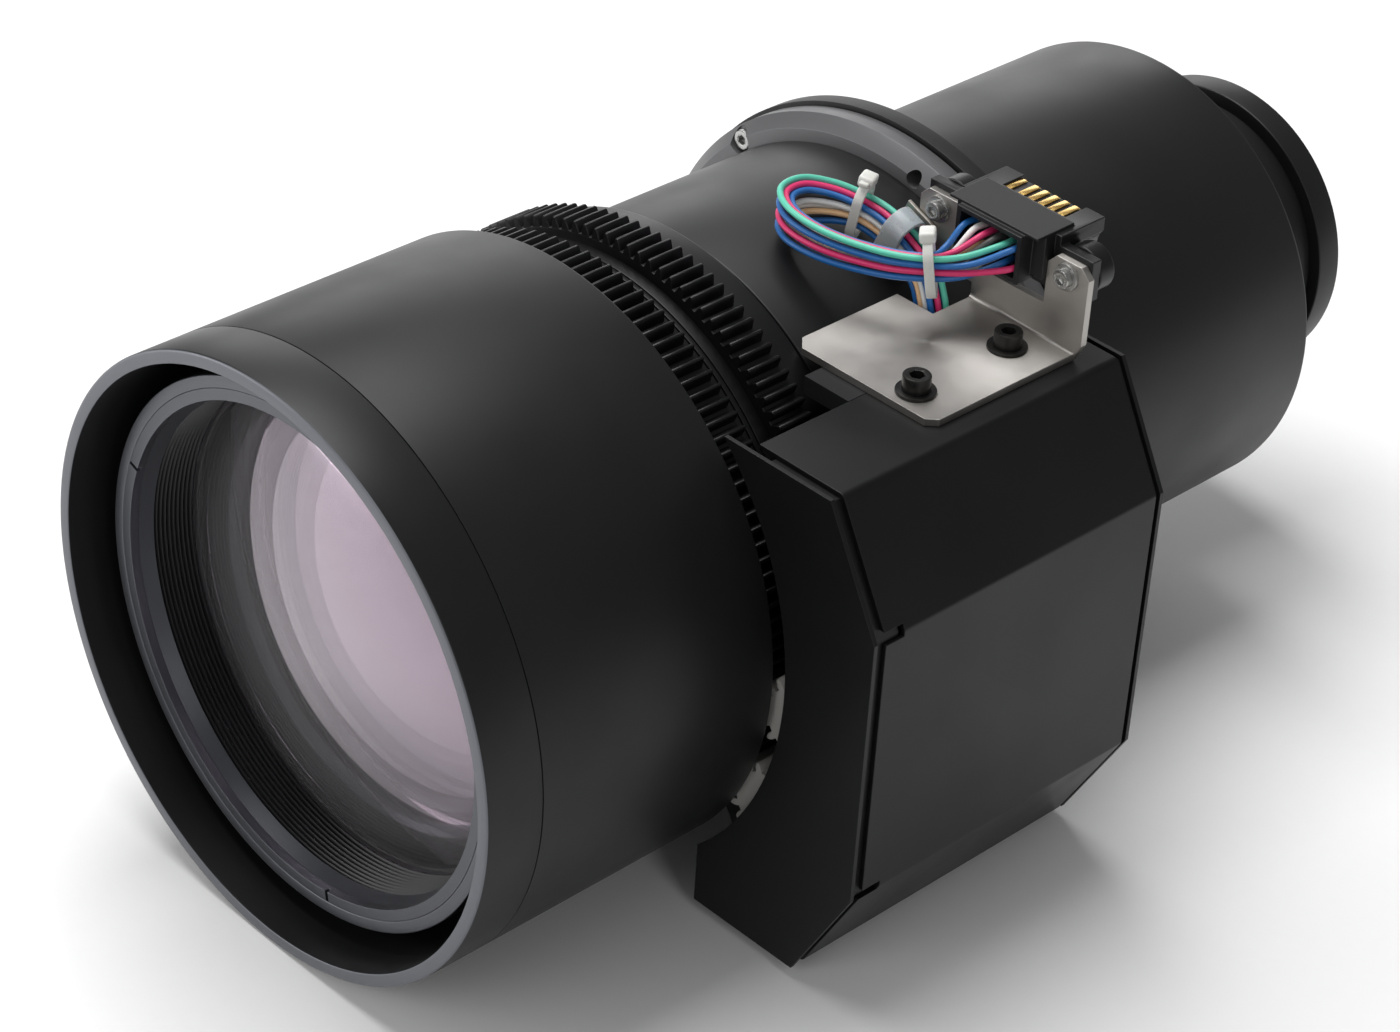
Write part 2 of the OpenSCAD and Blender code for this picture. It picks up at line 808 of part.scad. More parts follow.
module guide_barrel() {
  color("#77797e") difference() {
    union() {
      tube(guide_y, guide_rear_y, guide_bore_r, guide_r);
      tube(guide_y, guide_y + guide_lip_t, guide_bore_r, guide_lip_r);
      tube(guide_rear_y - guide_web_t, guide_rear_y, guide_bore_r, bore_r - snug);
    }
    for (i = [0 : focus_pins - 1]) {
      turn_to = i * 360 / focus_pins;
      straight_slot(follower_angle + turn_to, variator_pin_y, variator_pin_y + variator_travel,
        2 * (follower_r + slot_clear), guide_bore_r - over, guide_r + over);
      straight_slot(follower_angle + turn_to, compensator_pin_y - compensator_travel, compensator_pin_y,
        2 * (follower_r + slot_clear), guide_bore_r - over, guide_r + over);
    }
  }
}

module stop_ring() {
  color("#0d0d0d") tube(stop_y, stop_y + stop_t, stop_hole_r, rear_bore_r - snug);
}

module flange_front_ring() {
  color("#3b3d3f") difference() {
    turned([
      [barrel_r + snug, -seat_t - flange_ring_len],
      [flange_r - flange_chamfer, -seat_t - flange_ring_len],
      [flange_r, -seat_t - flange_ring_len + flange_chamfer],
      [flange_r, -seat_t - flange_groove],
      [flange_r - flange_groove_depth, -seat_t - flange_groove],
      [flange_r - flange_groove_depth, -seat_t],
      [barrel_r + snug, -seat_t]
    ]);
    for (i = [0 : flange_screw_count - 1]) {
      rotate([0, -flange_hole_angle - i * 360 / flange_screw_count, 0])
        translate([flange_hole_circle / 2, 0, 0])
          along(-seat_t - flange_ring_len - over, over) circle(flange_hole_r);
      rotate([0, -flange_screw_angle - i * 360 / flange_screw_count, 0])
        translate([flange_hole_circle / 2, 0, 0]) {
          along(-seat_t - flange_ring_len - over, over) circle(flange_screw_r + snug);
          along(-seat_t - flange_ring_len - over, -seat_t - flange_ring_len + flange_pocket_depth)
            circle(flange_pocket_r);
        }
    }
  }
}

module flange_seat_ring() {
  color("#161616") difference() {
    turned([
      [rear_r - pilot_relief + snug, -seat_t],
      [seat_r, -seat_t],
      [seat_r, -seat_bevel],
      [seat_r - seat_bevel, 0],
      [rear_r + pilot_relief, 0],
      [rear_r + pilot_relief, -pilot_relief],
      [rear_r - pilot_relief + snug, -pilot_relief]
    ]);
    for (i = [0 : flange_screw_count - 1]) {
      rotate([0, -flange_hole_angle - i * 360 / flange_screw_count, 0])
        translate([flange_hole_circle / 2, 0, 0]) along(-seat_t - over, over) circle(flange_hole_r);
      rotate([0, -flange_screw_angle - i * 360 / flange_screw_count, 0])
        translate([flange_hole_circle / 2, 0, 0]) along(-seat_t - over, -seat_t + tap_depth)
          circle(flange_screw_r + snug);
    }
  }
}

module flange_screws() {
  head_y = -seat_t - flange_ring_len + flange_pocket_depth;
  color("#b8babd")
    for (i = [0 : flange_screw_count - 1])
      rotate([0, -flange_screw_angle - i * 360 / flange_screw_count, 0])
        translate([flange_hole_circle / 2, 0, 0]) {
          along(head_y - flange_head_h, head_y) circle(flange_head_r);
          along(head_y, -seat_t + tap_depth - free_gap) circle(flange_screw_r);
        }
}

module rear_tube() {
  color("#1d1c1b") difference() {
    union() {
      along(-seat_t, rear_len) circle(rear_r - pilot_relief);
      along(pilot_y, rear_len) circle(rear_r);
    }
    along(-seat_t - over, rear_len - rear_wall_t) circle(rear_bore_r);
    along(-over, rear_len + over) circle(rear_cell_r + snug);
  }
}

module relay_cell() {
  color("#2c2d30") difference() {
    along(relay_y, relay_y + relay_len) circle(rear_bore_r - snug);
    along(relay_y - over, relay_lens_y + relay_lens_t) circle(relay_lens_r + snug);
    along(relay_y - over, relay_y + relay_len + over) circle(relay_lens_r - relay_lip);
  }
}

module relay_element() {
  color("#a9c4d6", 0.4)
    lens(relay_lens_y, relay_lens_r, relay_lens_t, 1, 1, relay_curve_r, relay_curve_r * 2);
}

module rear_cell() {
  color("#1a1a1a") difference() {
    turned([
      [rear_bore_cell_r - rear_ring_w, rear_len - rear_wall_t - rear_collar_t],
      [rear_collar_r, rear_len - rear_wall_t - rear_collar_t],
      [rear_collar_r, rear_len - rear_wall_t],
      [rear_cell_r, rear_len - rear_wall_t],
      [rear_cell_r, rear_rim_y],
      [rear_rim_r, rear_rim_y],
      [rear_rim_r, rear_reach - rear_rim_chamfer],
      [rear_rim_r - rear_rim_chamfer, rear_reach],
      [rear_bore_cell_r + snug, rear_reach],
      [rear_bore_cell_r + snug, rear_glass_y],
      [rear_bore_cell_r - rear_ring_w, rear_glass_y]
    ]);
  }
}

module rear_element() {
  color("#a9c4d6", 0.4)
    lens(rear_glass_y, rear_bore_cell_r, rear_glass_t, 1, 1, rear_curve_r * 2, rear_curve_r * 2);
}

module rear_retaining_ring() {
  color("#333437") difference() {
    tube(rear_glass_y + rear_glass_t, rear_glass_y + rear_glass_t + rear_ring_t,
      rear_bore_cell_r - rear_ring_w, rear_bore_cell_r);
    for (i = [0 : 1])
      rotate([0, i * 180, 0])
        translate([rear_bore_cell_r - rear_ring_w - over, rear_glass_y + rear_glass_t + rear_ring_t / 2,
          -retainer_slot_w / 2])
          cube([rear_ring_w + 2 * over, rear_ring_t, retainer_slot_w]);
  }
}

// Motor box

slant_angle = atan2(box_top - slant_z, box_side - top_corner_x);
chamfer_angle = atan2(box_side - bottom_corner_x, box_bottom - chamfer_z);
// Corners of the box outline, moved inwards by an inset
function top_corner(inset) = [top_corner_x - inset * tan(slant_angle / 2), box_top - inset];
function slant_corner(inset) = [box_side - inset, slant_z - inset * tan((90 - slant_angle) / 2)];
function chamfer_corner(inset) = [box_side - inset, -chamfer_z + inset * tan(chamfer_angle / 2)];
function bottom_corner(inset) = [bottom_corner_x - inset * tan((90 - chamfer_angle) / 2),
  -box_bottom + inset];
function box_outline(inset, top_x, bottom_x) = [
  [top_x, box_top - inset],
  top_corner(inset),
  slant_corner(inset),
  chamfer_corner(inset),
  bottom_corner(inset),
  [bottom_x, -box_bottom + inset]
];
function reversed(list) = [for (i = [len(list) - 1 : -1 : 0]) list[i]];

// A folded strip of sheet that follows the box outline
module folded(inset, top_x, bottom_x) {
  polygon(concat(box_outline(inset, top_x, bottom_x), reversed(box_outline(inset + sheet_t, top_x,
    bottom_x))));
}

module box_wrapper() {
  wrapper_y = box_front_y + sheet_t + cover_reveal;
  wrapper_rear_y = box_rear_y - sheet_t - cover_reveal / 2;
  color("#1c1c1d") difference() {
    along(wrapper_y, wrapper_rear_y) folded(0, top_edge_x, bottom_edge_x);
    for (y = cap_screw_y)
      translate([cap_screw_x, y, box_top - sheet_t - over])
        cylinder(h = sheet_t + 2 * over, d = cap_shank_d + 2 * snug);
    for (corner = [slant_z, -chamfer_z])
      translate([box_side - sheet_t - over, wrapper_y - over, corner - relief_w / 2])
        cube([sheet_t + 2 * over, relief_len + over, relief_w / 2 + relief_w / 2]);
  }
}

module front_cover_plate() {
  color("#151515") {
    along(box_front_y, box_front_y + sheet_t) difference() {
      polygon(box_outline(0, bottom_edge_x, bottom_edge_x));
      circle(cutout_r);
    }
    along(box_front_y + sheet_t, box_front_y + sheet_t + cover_lip_len)
      folded(sheet_t + running, box_lip_start_x, box_lip_start_x);
  }
}

module rear_cover_plate() {
  color("#151515") {
    along(box_rear_y - sheet_t, box_rear_y) difference() {
      polygon(box_outline(0, bottom_edge_x, bottom_edge_x));
      circle(rear_cutout_r);
      for (place = post_places)
        translate(place) circle(post_hole_r + snug);
    }
    along(box_rear_y - sheet_t - cover_lip_len, box_rear_y - sheet_t)
      folded(sheet_t + running, box_lip_start_x, box_lip_start_x);
  }
}

module box_screws() {
  color("#2b2b2c")
    for (place = post_places)
      translate([place[0], 0, place[1]]) {
        along(box_rear_y, box_rear_y + box_head_h) circle(box_head_r);
        along(box_rear_y - shaft_bore, box_rear_y) circle(post_hole_r);
      }
}

module chassis_plate(y0, y1, arc_r) {
  along(y0, y1) difference() {
    polygon(concat(box_outline(chassis_inset, top_edge_x, inner_corners[0][0]), inner_corners));
    circle(arc_r);
    for (step = [focus_pinion_step, focus_sensor_step, zoom_pinion_step, zoom_sensor_step])
      translate(axle_place(step)) circle(shaft_r + running);
  }
}

module motor_chassis() {
  tab_top = box_top - sheet_t;
  color("#3a3b3d") difference() {
    union() {
      chassis_plate(chassis_y, chassis_y + chassis_t, barrel_r + snug);
      chassis_plate(chassis_front_y, chassis_front_y + chassis_front_t, chassis_arc_r);
      // The tab that the bracket is bolted to, flush with the box top where it is bare
      translate([top_edge_x, tab_front_y, tab_top - tab_t])
        cube([tab_edge_x - top_edge_x, tab_rear_y - tab_front_y, tab_t]);
      translate([tab_x, tab_front_y, tab_top - tab_t])
        cube([top_edge_x + over - tab_x, tab_notch_y - tab_front_y, tab_t]);
      translate([tab_x, tab_front_y, tab_top - over])
        cube([top_edge_x - running - tab_x, tab_notch_y - tab_front_y, sheet_t + over]);
      translate([tab_edge_x - tab_arm_w, chassis_front_y, tab_top - tab_t - over])
        cube([tab_arm_w, tab_front_y - chassis_front_y + over, tab_t + over]);
      translate([web_x - chassis_t, chassis_front_y, web_low_z])
        cube([chassis_t, chassis_y - chassis_front_y + over, web_high_z - web_low_z]);
      for (place = post_places)
        translate([place[0], 0, place[1]]) along(chassis_y, box_rear_y - sheet_t) circle(post_r);
      for (angle = foot_angles)
        rotate([0, -angle, 0])
          translate([barrel_r + running, chassis_y + chassis_t - over, -foot_w / 2])
            cube([foot_h, foot_len + over, foot_w]);
    }
    for (place = post_places)
      translate([place[0], 0, place[1]]) along(box_rear_y - sheet_t - shaft_bore, box_rear_y)
        circle(post_hole_r + snug);
    for (y = cap_screw_y)
      translate([cap_screw_x, y, tab_top - tab_t - over])
        cylinder(h = tab_t + 2 * over, d = cap_shank_d + 2 * snug);
    for (angle = foot_angles)
      radial(angle, chassis_y + chassis_t + foot_len / 2, chassis_screw_r + snug, barrel_r - over,
        barrel_r + foot_h + over);
  }
}

module chassis_screws() {
  color("#b8babd")
    for (angle = foot_angles) {
      radial(angle, chassis_y + chassis_t + foot_len / 2, chassis_screw_r, bore_r + free_gap,
        barrel_r + running + foot_h);
      radial(angle, chassis_y + chassis_t + foot_len / 2, chassis_head_r, barrel_r + running + foot_h,
        barrel_r + running + foot_h + chassis_head_h);
    }
}

module motor(step) {
  place = axle_place(step);
  front = chassis_y + chassis_t;
  translate([place[0], 0, place[1]]) difference() {
    union() {
      along(front, front + motor_len) circle(motor_r);
      along(front + motor_len, front + motor_len + sheet_t) circle(collar_r);
    }
    along(front - over, front + shaft_bore) circle(shaft_r + running);
  }
}

module focus_motor() {
  color("#9a9ca0") motor(focus_pinion_step);
}

// The zoom motor also carries the block where the harness ends
module zoom_motor() {
  place = axle_place(zoom_pinion_step);
  block_y = harness_route[len(harness_route) - 1][1];
  color("#9a9ca0") {
    motor(zoom_pinion_step);
    translate([harness_route[len(harness_route) - 1][0] + free_gap, block_y - block_size[1] / 2,
      place[1] + motor_r - over])
      cube(block_size);
  }
}

module position_sensors() {
  front = chassis_y + chassis_t;
  color("#2f5d43")
    for (step = [focus_sensor_step, zoom_sensor_step])
      translate([axle_place(step)[0], 0, axle_place(step)[1]]) along(front, front + sensor_len) difference() {
        circle(sensor_r);
        circle(shaft_r + running);
      }
}

// Bracket and connector

module connector_bracket() {
  edge_x = plate_x + plate_w;
  ear_left = ear_center_x - ear_pitch / 2;
  ear_right = ear_center_x + ear_pitch / 2;
  left_x = ear_left - ear_w / 2;
  right_x = max(edge_x, ear_right + ear_w / 2);
  ear_top = plate_top + ear_h;
  color("#c9c6c1") difference() {
    union() {
      translate([0, 0, plate_z]) linear_extrude(bracket_t) polygon([
        [plate_x + plate_corner, plate_y],
        [edge_x - plate_chamfer, plate_y],
        [edge_x, plate_y + plate_chamfer],
        [edge_x, ear_plane_y + bracket_t],
        [plate_x + plate_notch_w, ear_plane_y + bracket_t],
        [plate_x + plate_notch_w, ear_plane_y - plate_notch_len],
        [plate_x, ear_plane_y - plate_notch_len],
        [plate_x, plate_y + plate_corner]
      ]);
      along(ear_plane_y, ear_plane_y + bracket_t) polygon([
        [left_x, plate_top + ear_drop],
        [plate_x + plate_notch_w, plate_top + ear_drop],
        [plate_x + plate_notch_w, plate_z],
        [edge_x, plate_z],
        [right_x, plate_top + ear_chamfer],
        [right_x, ear_top - ear_chamfer],
        [right_x - ear_chamfer, ear_top],
        [ear_right - ear_w / 2 + ear_chamfer, ear_top],
        [ear_right - ear_w / 2, ear_top - ear_chamfer],
        [ear_right - ear_w / 2, notch_z],
        [ear_left + ear_w / 2, notch_z],
        [ear_left + ear_w / 2, ear_top],
        [left_x + ear_chamfer, ear_top],
        [left_x, ear_top - ear_chamfer]
      ]);
    }
    for (y = cap_screw_y)
      translate([cap_screw_x, y, plate_z - over])
        cylinder(h = bracket_t + 2 * over, d = cap_shank_d + 2 * snug);
    for (x = [ear_left, ear_right])
      translate([x, 0, ear_screw_z]) along(ear_plane_y - over, ear_plane_y + bracket_t + over)
        circle(ear_hole_r);
  }
}

module bracket_screws() {
  color("#232323")
    for (y = cap_screw_y)
      translate([cap_screw_x, y, plate_top]) {
        difference() {
          union() {
            cylinder(h = washer_t, d = washer_d);
            translate([0, 0, washer_t]) cylinder(h = cap_head_h, d = cap_head_d);
            translate([0, 0, -cap_len]) cylinder(h = cap_len + washer_t, d = cap_shank_d);
          }
          translate([0, 0, washer_t + cap_head_h - cap_socket_depth])
            cylinder(h = cap_socket_depth + over, r = cap_socket_r, $fn = 6);
        }
      }
}

module connector_housing() {
  frame_x = ear_center_x - frame_w / 2;
  body_x = ear_center_x - body_w / 2;
  ear_left = ear_center_x - ear_pitch / 2;
  ear_right = ear_center_x + ear_pitch / 2;
  throat_x = ear_center_x - (ear_pitch - ear_w) / 2 + running;
  color("#202022") difference() {
    union() {
      // The frame round the leads, and the throat that passes between the bracket's ears
      translate([frame_x, frame_front_y, frame_z]) cube([frame_w, body_y - frame_front_y, frame_h]);
      translate([throat_x, ear_plane_y - frame_step, frame_z + frame_step])
        cube([ear_pitch - ear_w - 2 * running, body_y - ear_plane_y + frame_step, frame_h - frame_step]);
      // The body behind the bracket, its two lugs, and the tongue between the wings
      translate([body_x, body_y, body_z]) cube([body_w, body_len, body_top - body_z]);
      translate([ear_left - lug_reach, body_y, lug_z]) cube([ear_pitch + 2 * lug_reach, lug_t, lug_h]);
      translate([ear_center_x - tongue_w / 2, body_y + body_len, tongue_z])
        cube([tongue_w, tongue_len, tongue_top - tongue_z]);
      for (side = [-1, 1])
        translate([ear_center_x + side * (body_w - wing_w) / 2 - wing_w / 2, body_y + body_len, body_z])
          cube([wing_w, wing_len, wing_top - body_z]);
      // The raised roof, set back from the front and rear edges
      translate([throat_x, frame_front_y + roof_inset, body_top])
        cube([ear_pitch - ear_w - 2 * running, body_y + body_len - frame_front_y - 2 * roof_inset, roof_h]);
    }
    translate([frame_x + frame_wall, frame_front_y - over, frame_z + frame_wall])
      cube([frame_w - 2 * frame_wall, frame_depth + over, frame_h - 2 * frame_wall]);
    for (x = [ear_left, ear_right])
      translate([x, 0, ear_screw_z]) {
        along(body_y - over, body_y + lug_t + over) circle(bush_neck_r + snug);
        along(body_y + lug_t, body_y + body_len + wing_len + over) circle(bush_r + free_gap);
      }
  }
}

module connector_contacts() {
  span = (contacts - 1) * contact_pitch;
  color("#d9a441")
    for (i = [0 : contacts - 1]) {
      set_apart = i == 0 ? -contact_pitch * contact_gap_share : 0;
      translate([ear_center_x - span / 2 + i * contact_pitch + set_apart - contact_w / 2,
        body_y + body_len, tongue_top])
        cube([contact_w, tongue_len - contact_t, contact_t]);
    }
}

module float_bushes() {
  color("#1b1b1c")
    for (side = [-1, 1])
      translate([ear_center_x + side * ear_pitch / 2, 0, ear_screw_z]) difference() {
        union() {
          along(body_y + lug_t, body_y + lug_t + bush_len) circle(bush_r);
          along(body_y, body_y + lug_t) circle(bush_neck_r);
        }
        along(body_y - over, body_y + lug_t + bush_len - sheet_t) circle(ear_screw_r + snug);
      }
}

module ear_screws() {
  color("#aeb1b4")
    for (side = [-1, 1])
      translate([ear_center_x + side * ear_pitch / 2, 0, ear_screw_z]) difference() {
        union() {
          along(ear_plane_y - ear_washer_t, ear_plane_y) circle(ear_washer_r);
          along(ear_plane_y - ear_washer_t - ear_head_h, ear_plane_y - ear_washer_t) circle(ear_head_r);
          along(ear_plane_y - ear_washer_t, body_y + lug_t + ear_head_h) circle(ear_screw_r);
        }
        along(ear_plane_y - ear_washer_t - ear_head_h - over, ear_plane_y - ear_washer_t - ear_head_h / 2)
          circle(ear_socket_r, $fn = 6);
      }
}

// Harness

function unit(v) = v / norm(v);
function route_tangent(points, i) = unit(points[min(i + 1, len(points) - 1)] - points[max(i - 1, 0)]);
function sideways(t) = unit(cross(t, [0, 0, 1]));
// Place of a lead in the bundle: rows from the inside of the loop out, columns from top to bottom
function lead_row(i) = i % lead_rows - (lead_rows - 1) / 2;
function lead_col(i) = (lead_cols - 1) / 2 - floor(i / lead_rows);
function bundled(i, k) =
  let (
    t = route_tangent(harness_route, k),
    s = sideways(t),
    u = cross(s, t)
  )
  harness_route[k]
    + s * lead_pitch * lead_row(i) * (1 - (fan_share[k] - 1) * narrow_share)
    + u * lead_pitch * (lead_col(i) - lead_row(i) / lead_rows) * fan_share[k];
// Where a lead enters the connector: each row of the bundle feeds two columns of contacts
function level(i) = floor(i / lead_rows);
function entry_col(i) = 2 * (lead_rows - 1 - i % lead_rows) + (level(i) == 1 || level(i) == 2 ? 1 : 0);
function entry(i) = [
  ear_center_x + entry_pitch * (entry_col(i) - (entry_cols - 1) / 2),
  frame_front_y + frame_depth - free_gap,
  body_top - frame_wall - frame_h / 4 - (level(i) < 2 ? 0 : entry_drop)
];
function approach(a, b) = [
  (a[0] + b[0]) / 2,
  (a[1] + b[1]) / 2,
  a[2] * (1 - approach_share) + b[2] * approach_share
];
function lead_points(i) =
  let (mouth = entry(i) - [0, frame_depth - free_gap, 0])
  concat(
    [entry(i), mouth, approach(mouth, bundled(i, bundle_start))],
    [for (k = [bundle_start : len(harness_route) - 1]) bundled(i, k)]
  );
// A smooth curve through hand-placed points, with one point added between each two
function between(p, i) =
  let (
    a = p[max(i - 1, 0)],
    b = p[i],
    c = p[i + 1],
    d = p[min(i + 2, len(p) - 1)]
  )
  (9 * (b + c) - a - d) / 16;
function smoothed(p) = [for (i = [0 : len(p) - 2]) each [p[i], between(p, i)], p[len(p) - 1]];
function ring_points(p, i, r) =
  let (
    t = route_tangent(p, i),
    s = sideways(t),
    u = cross(s, t)
  )
  [for (j = [0 : lead_sides - 1]) p[i] + r * (cos(j * 360 / lead_sides) * s + sin(j * 360 / lead_sides) * u)];

module lead(i) {
  path = smoothed(lead_points(i));
  last = len(path) - 1;
  sides = lead_sides;
  polyhedron(
    points = [for (k = [0 : last]) each ring_points(path, k, lead_d / 2)],
    faces = concat(
      [for (j = [1 : sides - 2]) [0, j, j + 1]],
      [for (k = [0 : last - 1]) for (j = [0 : sides - 1]) [k * sides + j, (k + 1) * sides + j,
        k * sides + (j + 1) % sides]],
      [for (k = [0 : last - 1]) for (j = [0 : sides - 1])
        [k * sides + (j + 1) % sides, (k + 1) * sides + j, (k + 1) * sides + (j + 1) % sides]],
      [for (j = [1 : sides - 2]) [last * sides, last * sides + j + 1, last * sides + j]]
    )
  );
}

module leads(list) {
  for (i = list) lead(i);
}

module leads_blue() {
  color("#1f5fae") leads([2, 3, 9, 11]);
}

module leads_white() {
  color("#e8e8e4") leads([5, 7]);
}

module leads_pink() {
  color("#e0457f") leads([1, 6]);
}

module leads_gray() {
  color("#55565a") leads([4, 10]);
}

module lead_teal() {
  color("#4fbf9f") lead(0);
}

module lead_peach() {
  color("#f2c48f") lead(8);
}

// Turns a flat shape, drawn across the bundle, to face along the route at one of its points
module across_bundle(k) {
  t = route_tangent(harness_route, k);
  s = sideways(t);
  u = cross(s, t);
  multmatrix([
    [s[0], u[0], -t[0], harness_route[k][0]],
    [s[1], u[1], -t[1], harness_route[k][1]],
    [s[2], u[2], -t[2], harness_route[k][2]],
    [0, 0, 0, 1]
  ])
    children();
}

bundle_w = lead_pitch * (lead_rows - 1) + lead_d + 2 * tie_gap;
bundle_h = lead_pitch * (lead_cols - 1 + 2 / 3) + lead_d + 2 * tie_gap;

module round_end_slot(w, h, grow) {
  circle_y = (h - w) / 2;
  translate([-w / 2 - grow, -circle_y]) square([w + 2 * grow, 2 * circle_y]);
  for (end = [-1, 1])
    translate([0, end * circle_y]) circle(w / 2 + grow);
}

module band(w, h, t, len) {
  translate([0, 0, -len / 2]) linear_extrude(len) difference() {
    round_end_slot(w, h, t);
    round_end_slot(w, h, 0);
  }
}

module cable_ties() {
  color("#f1f2ee")
    for (k = tie_points)
      across_bundle(k) {
        band(bundle_w, bundle_h + bundle_w / 2, tie_t, tie_w);
        translate([-tie_head[0] / 2, (bundle_h + bundle_w / 2) / 2 + tie_t / 2, -tie_head[2] / 2])
          cube(tie_head);
      }
}

module cable_clip() {
  color("#b9bcbf", 0.8)
    across_bundle(clip_point) band(bundle_w, bundle_h + bundle_w / 2, clip_t, clip_w);
}

module clip_foot() {
  color("#8f877c")
    across_bundle(clip_point)
      translate([-bundle_w / 2 - clip_t - snug - clip_foot_size[0], -clip_foot_size[1] / 2,
        -clip_foot_size[2] / 2])
        cube(clip_foot_size);
}

hood();
hood_front_ring();
front_cell();
front_retaining_ring();
front_baffle();
front_element();
second_element();
focus_follower_pins();
focus_gear_ring();
zoom_gear_ring();
zoom_drive_pins();
cam_barrel();
variator_carrier();
variator_lens();
variator_pins();
compensator_carrier();
compensator_lens();
compensator_pins();
focus_pinion();
focus_sensor_gear();
zoom_pinion();
zoom_sensor_gear();
main_barrel();
ring_spacer();
focus_ring_retainer();
guide_barrel();
stop_ring();
flange_front_ring();
flange_seat_ring();
flange_screws();
rear_tube();
relay_cell();
relay_element();
rear_cell();
rear_element();
rear_retaining_ring();
box_wrapper();
front_cover_plate();
rear_cover_plate();
box_screws();
motor_chassis();
chassis_screws();
focus_motor();
zoom_motor();
position_sensors();
connector_bracket();
bracket_screws();
connector_housing();
connector_contacts();
float_bushes();
ear_screws();
leads_blue();
leads_white();
leads_pink();
leads_gray();
lead_teal();
lead_peach();
cable_ties();
cable_clip();
clip_foot();
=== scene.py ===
import math

import bmesh
import bpy
from bpy.props import FloatProperty, FloatVectorProperty, IntProperty, PointerProperty
from mathutils import Matrix, Vector


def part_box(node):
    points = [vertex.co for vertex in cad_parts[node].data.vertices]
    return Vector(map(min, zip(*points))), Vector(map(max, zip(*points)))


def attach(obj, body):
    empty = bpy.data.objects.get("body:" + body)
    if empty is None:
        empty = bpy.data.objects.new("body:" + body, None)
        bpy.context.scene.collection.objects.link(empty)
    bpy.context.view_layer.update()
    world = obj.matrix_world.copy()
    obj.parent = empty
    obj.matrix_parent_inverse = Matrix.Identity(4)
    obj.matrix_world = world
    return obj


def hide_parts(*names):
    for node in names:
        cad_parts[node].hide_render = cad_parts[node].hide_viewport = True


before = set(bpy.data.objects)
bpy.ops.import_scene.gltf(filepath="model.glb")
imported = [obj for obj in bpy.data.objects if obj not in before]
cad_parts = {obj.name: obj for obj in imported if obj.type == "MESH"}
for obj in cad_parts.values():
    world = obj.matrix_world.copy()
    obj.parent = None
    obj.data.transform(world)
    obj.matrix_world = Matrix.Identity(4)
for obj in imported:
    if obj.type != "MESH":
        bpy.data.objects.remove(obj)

bl_info = {
    "name": "Projection zoom lens",
    "version": (1, 0, 0),
    "blender": (4, 5, 0),
    "location": "3D View > Sidebar > Lens",
    "description": "Dresses the packed frame of a motorised projection zoom lens",
    "category": "Object",
}

MM = 0.001

# Radii and stations along the optical axis, in millimetres in the row frame
MOUTH_Y = -210.0
HOOD_R = 80.0
HOOD_BORE_R = 76.5
SEAM_Y = -193.7
HOOD_REAR_Y = -121.6
CELL_Y = MOUTH_Y + 9.6
CELL_STEP_Y = -173.0
FRONT_GLASS_Y = -182.0
FRONT_GLASS_R = 66.0
NECK_Y = -150.0
NECK_BORE_R = 63.0
NECK_R = 66.0
FOCUS_TEETH_Y = -120.0
ZOOM_TEETH_Y = -100.6
TOOTH_LEN = 10.6
RING_TEETH = 126
PINION_TEETH = 18
GEAR_MODULE = 1.2
PRESSURE_ANGLE = 20
RING_HUB_R = 71.5
RING_ROOT_R = 74.1
SPACER_Y = -105.7
SPACER_T = 1.4
BARREL_Y = -78.7
BARREL_R = 69.5
SEAT_T = 5.9
SEAT_R = 77.6
TUBE_R = 64.4
TUBE_RELIEF = 0.6
TUBE_BORE_R = 61.0
TUBE_END_Y = 96.0
AXLE_R = GEAR_MODULE * (RING_TEETH + PINION_TEETH) / 2
RUNNING = 0.05
SNUG = 0.01
CUT_PAST = 1.0

# How fine the round pieces and the copies of CAD nodes are
ROUND_STEPS = 256
NODE_MERGE = 2e-6
FLAT_ANGLE = 0.6
KNURL_DEPTH = 0.09


# Sizes and colours that a user would change

class LensSizes(bpy.types.PropertyGroup):
    """Sizes of the finish: sheet edges and folds, tooth rounding and the leads"""
    sheet_edge: FloatProperty(name="Sheet edge", description="Rounding of the cut edges of the sheet metal",
                              default=0.18 * MM, min=0.05 * MM, max=0.5 * MM, unit='LENGTH')
    fold: FloatProperty(name="Fold radius", description="Outer radius of the folds in the drive box",
                        default=2.2 * MM, min=1.5 * MM, max=4 * MM, unit='LENGTH')
    tooth_crown: FloatProperty(name="Tooth rounding", description="Rounding at the ends of the gear teeth",
                               default=0.3 * MM, min=0.05 * MM, max=0.5 * MM, unit='LENGTH')
    lead: FloatProperty(name="Lead diameter", description="Outer diameter of each insulated lead",
                        default=1.6 * MM, min=1.2 * MM, max=1.7 * MM, unit='LENGTH')
    tube_sides: IntProperty(name="Lead sides", description="Sides of each lead's tube",
                            default=14, min=8, max=24)


class LensColours(bpy.types.PropertyGroup):
    """Colours of the finishes"""
    paint: FloatVectorProperty(name="Black paint", description="Satin paint of the hood and the barrels",
                               default=(0.0075, 0.0075, 0.008), min=0, max=1, subtype='COLOR')
    rim: FloatVectorProperty(name="Rim", description="Bare rim of the hood and the faces of the front cell",
                             default=(0.125, 0.13, 0.145), min=0, max=1, subtype='COLOR')
    box: FloatVectorProperty(name="Drive box", description="Powder coat of the drive box",
                             default=(0.0055, 0.0055, 0.006), min=0, max=1, subtype='COLOR')
    bracket: FloatVectorProperty(name="Bracket", description="Stainless sheet of the connector bracket",
                                 default=(0.48, 0.46, 0.435), min=0, max=1, subtype='COLOR')
    floor: FloatVectorProperty(name="Floor", description="Pale studio floor",
                               default=(0.92, 0.92, 0.92), min=0, max=1, subtype='COLOR')


# Shader groups

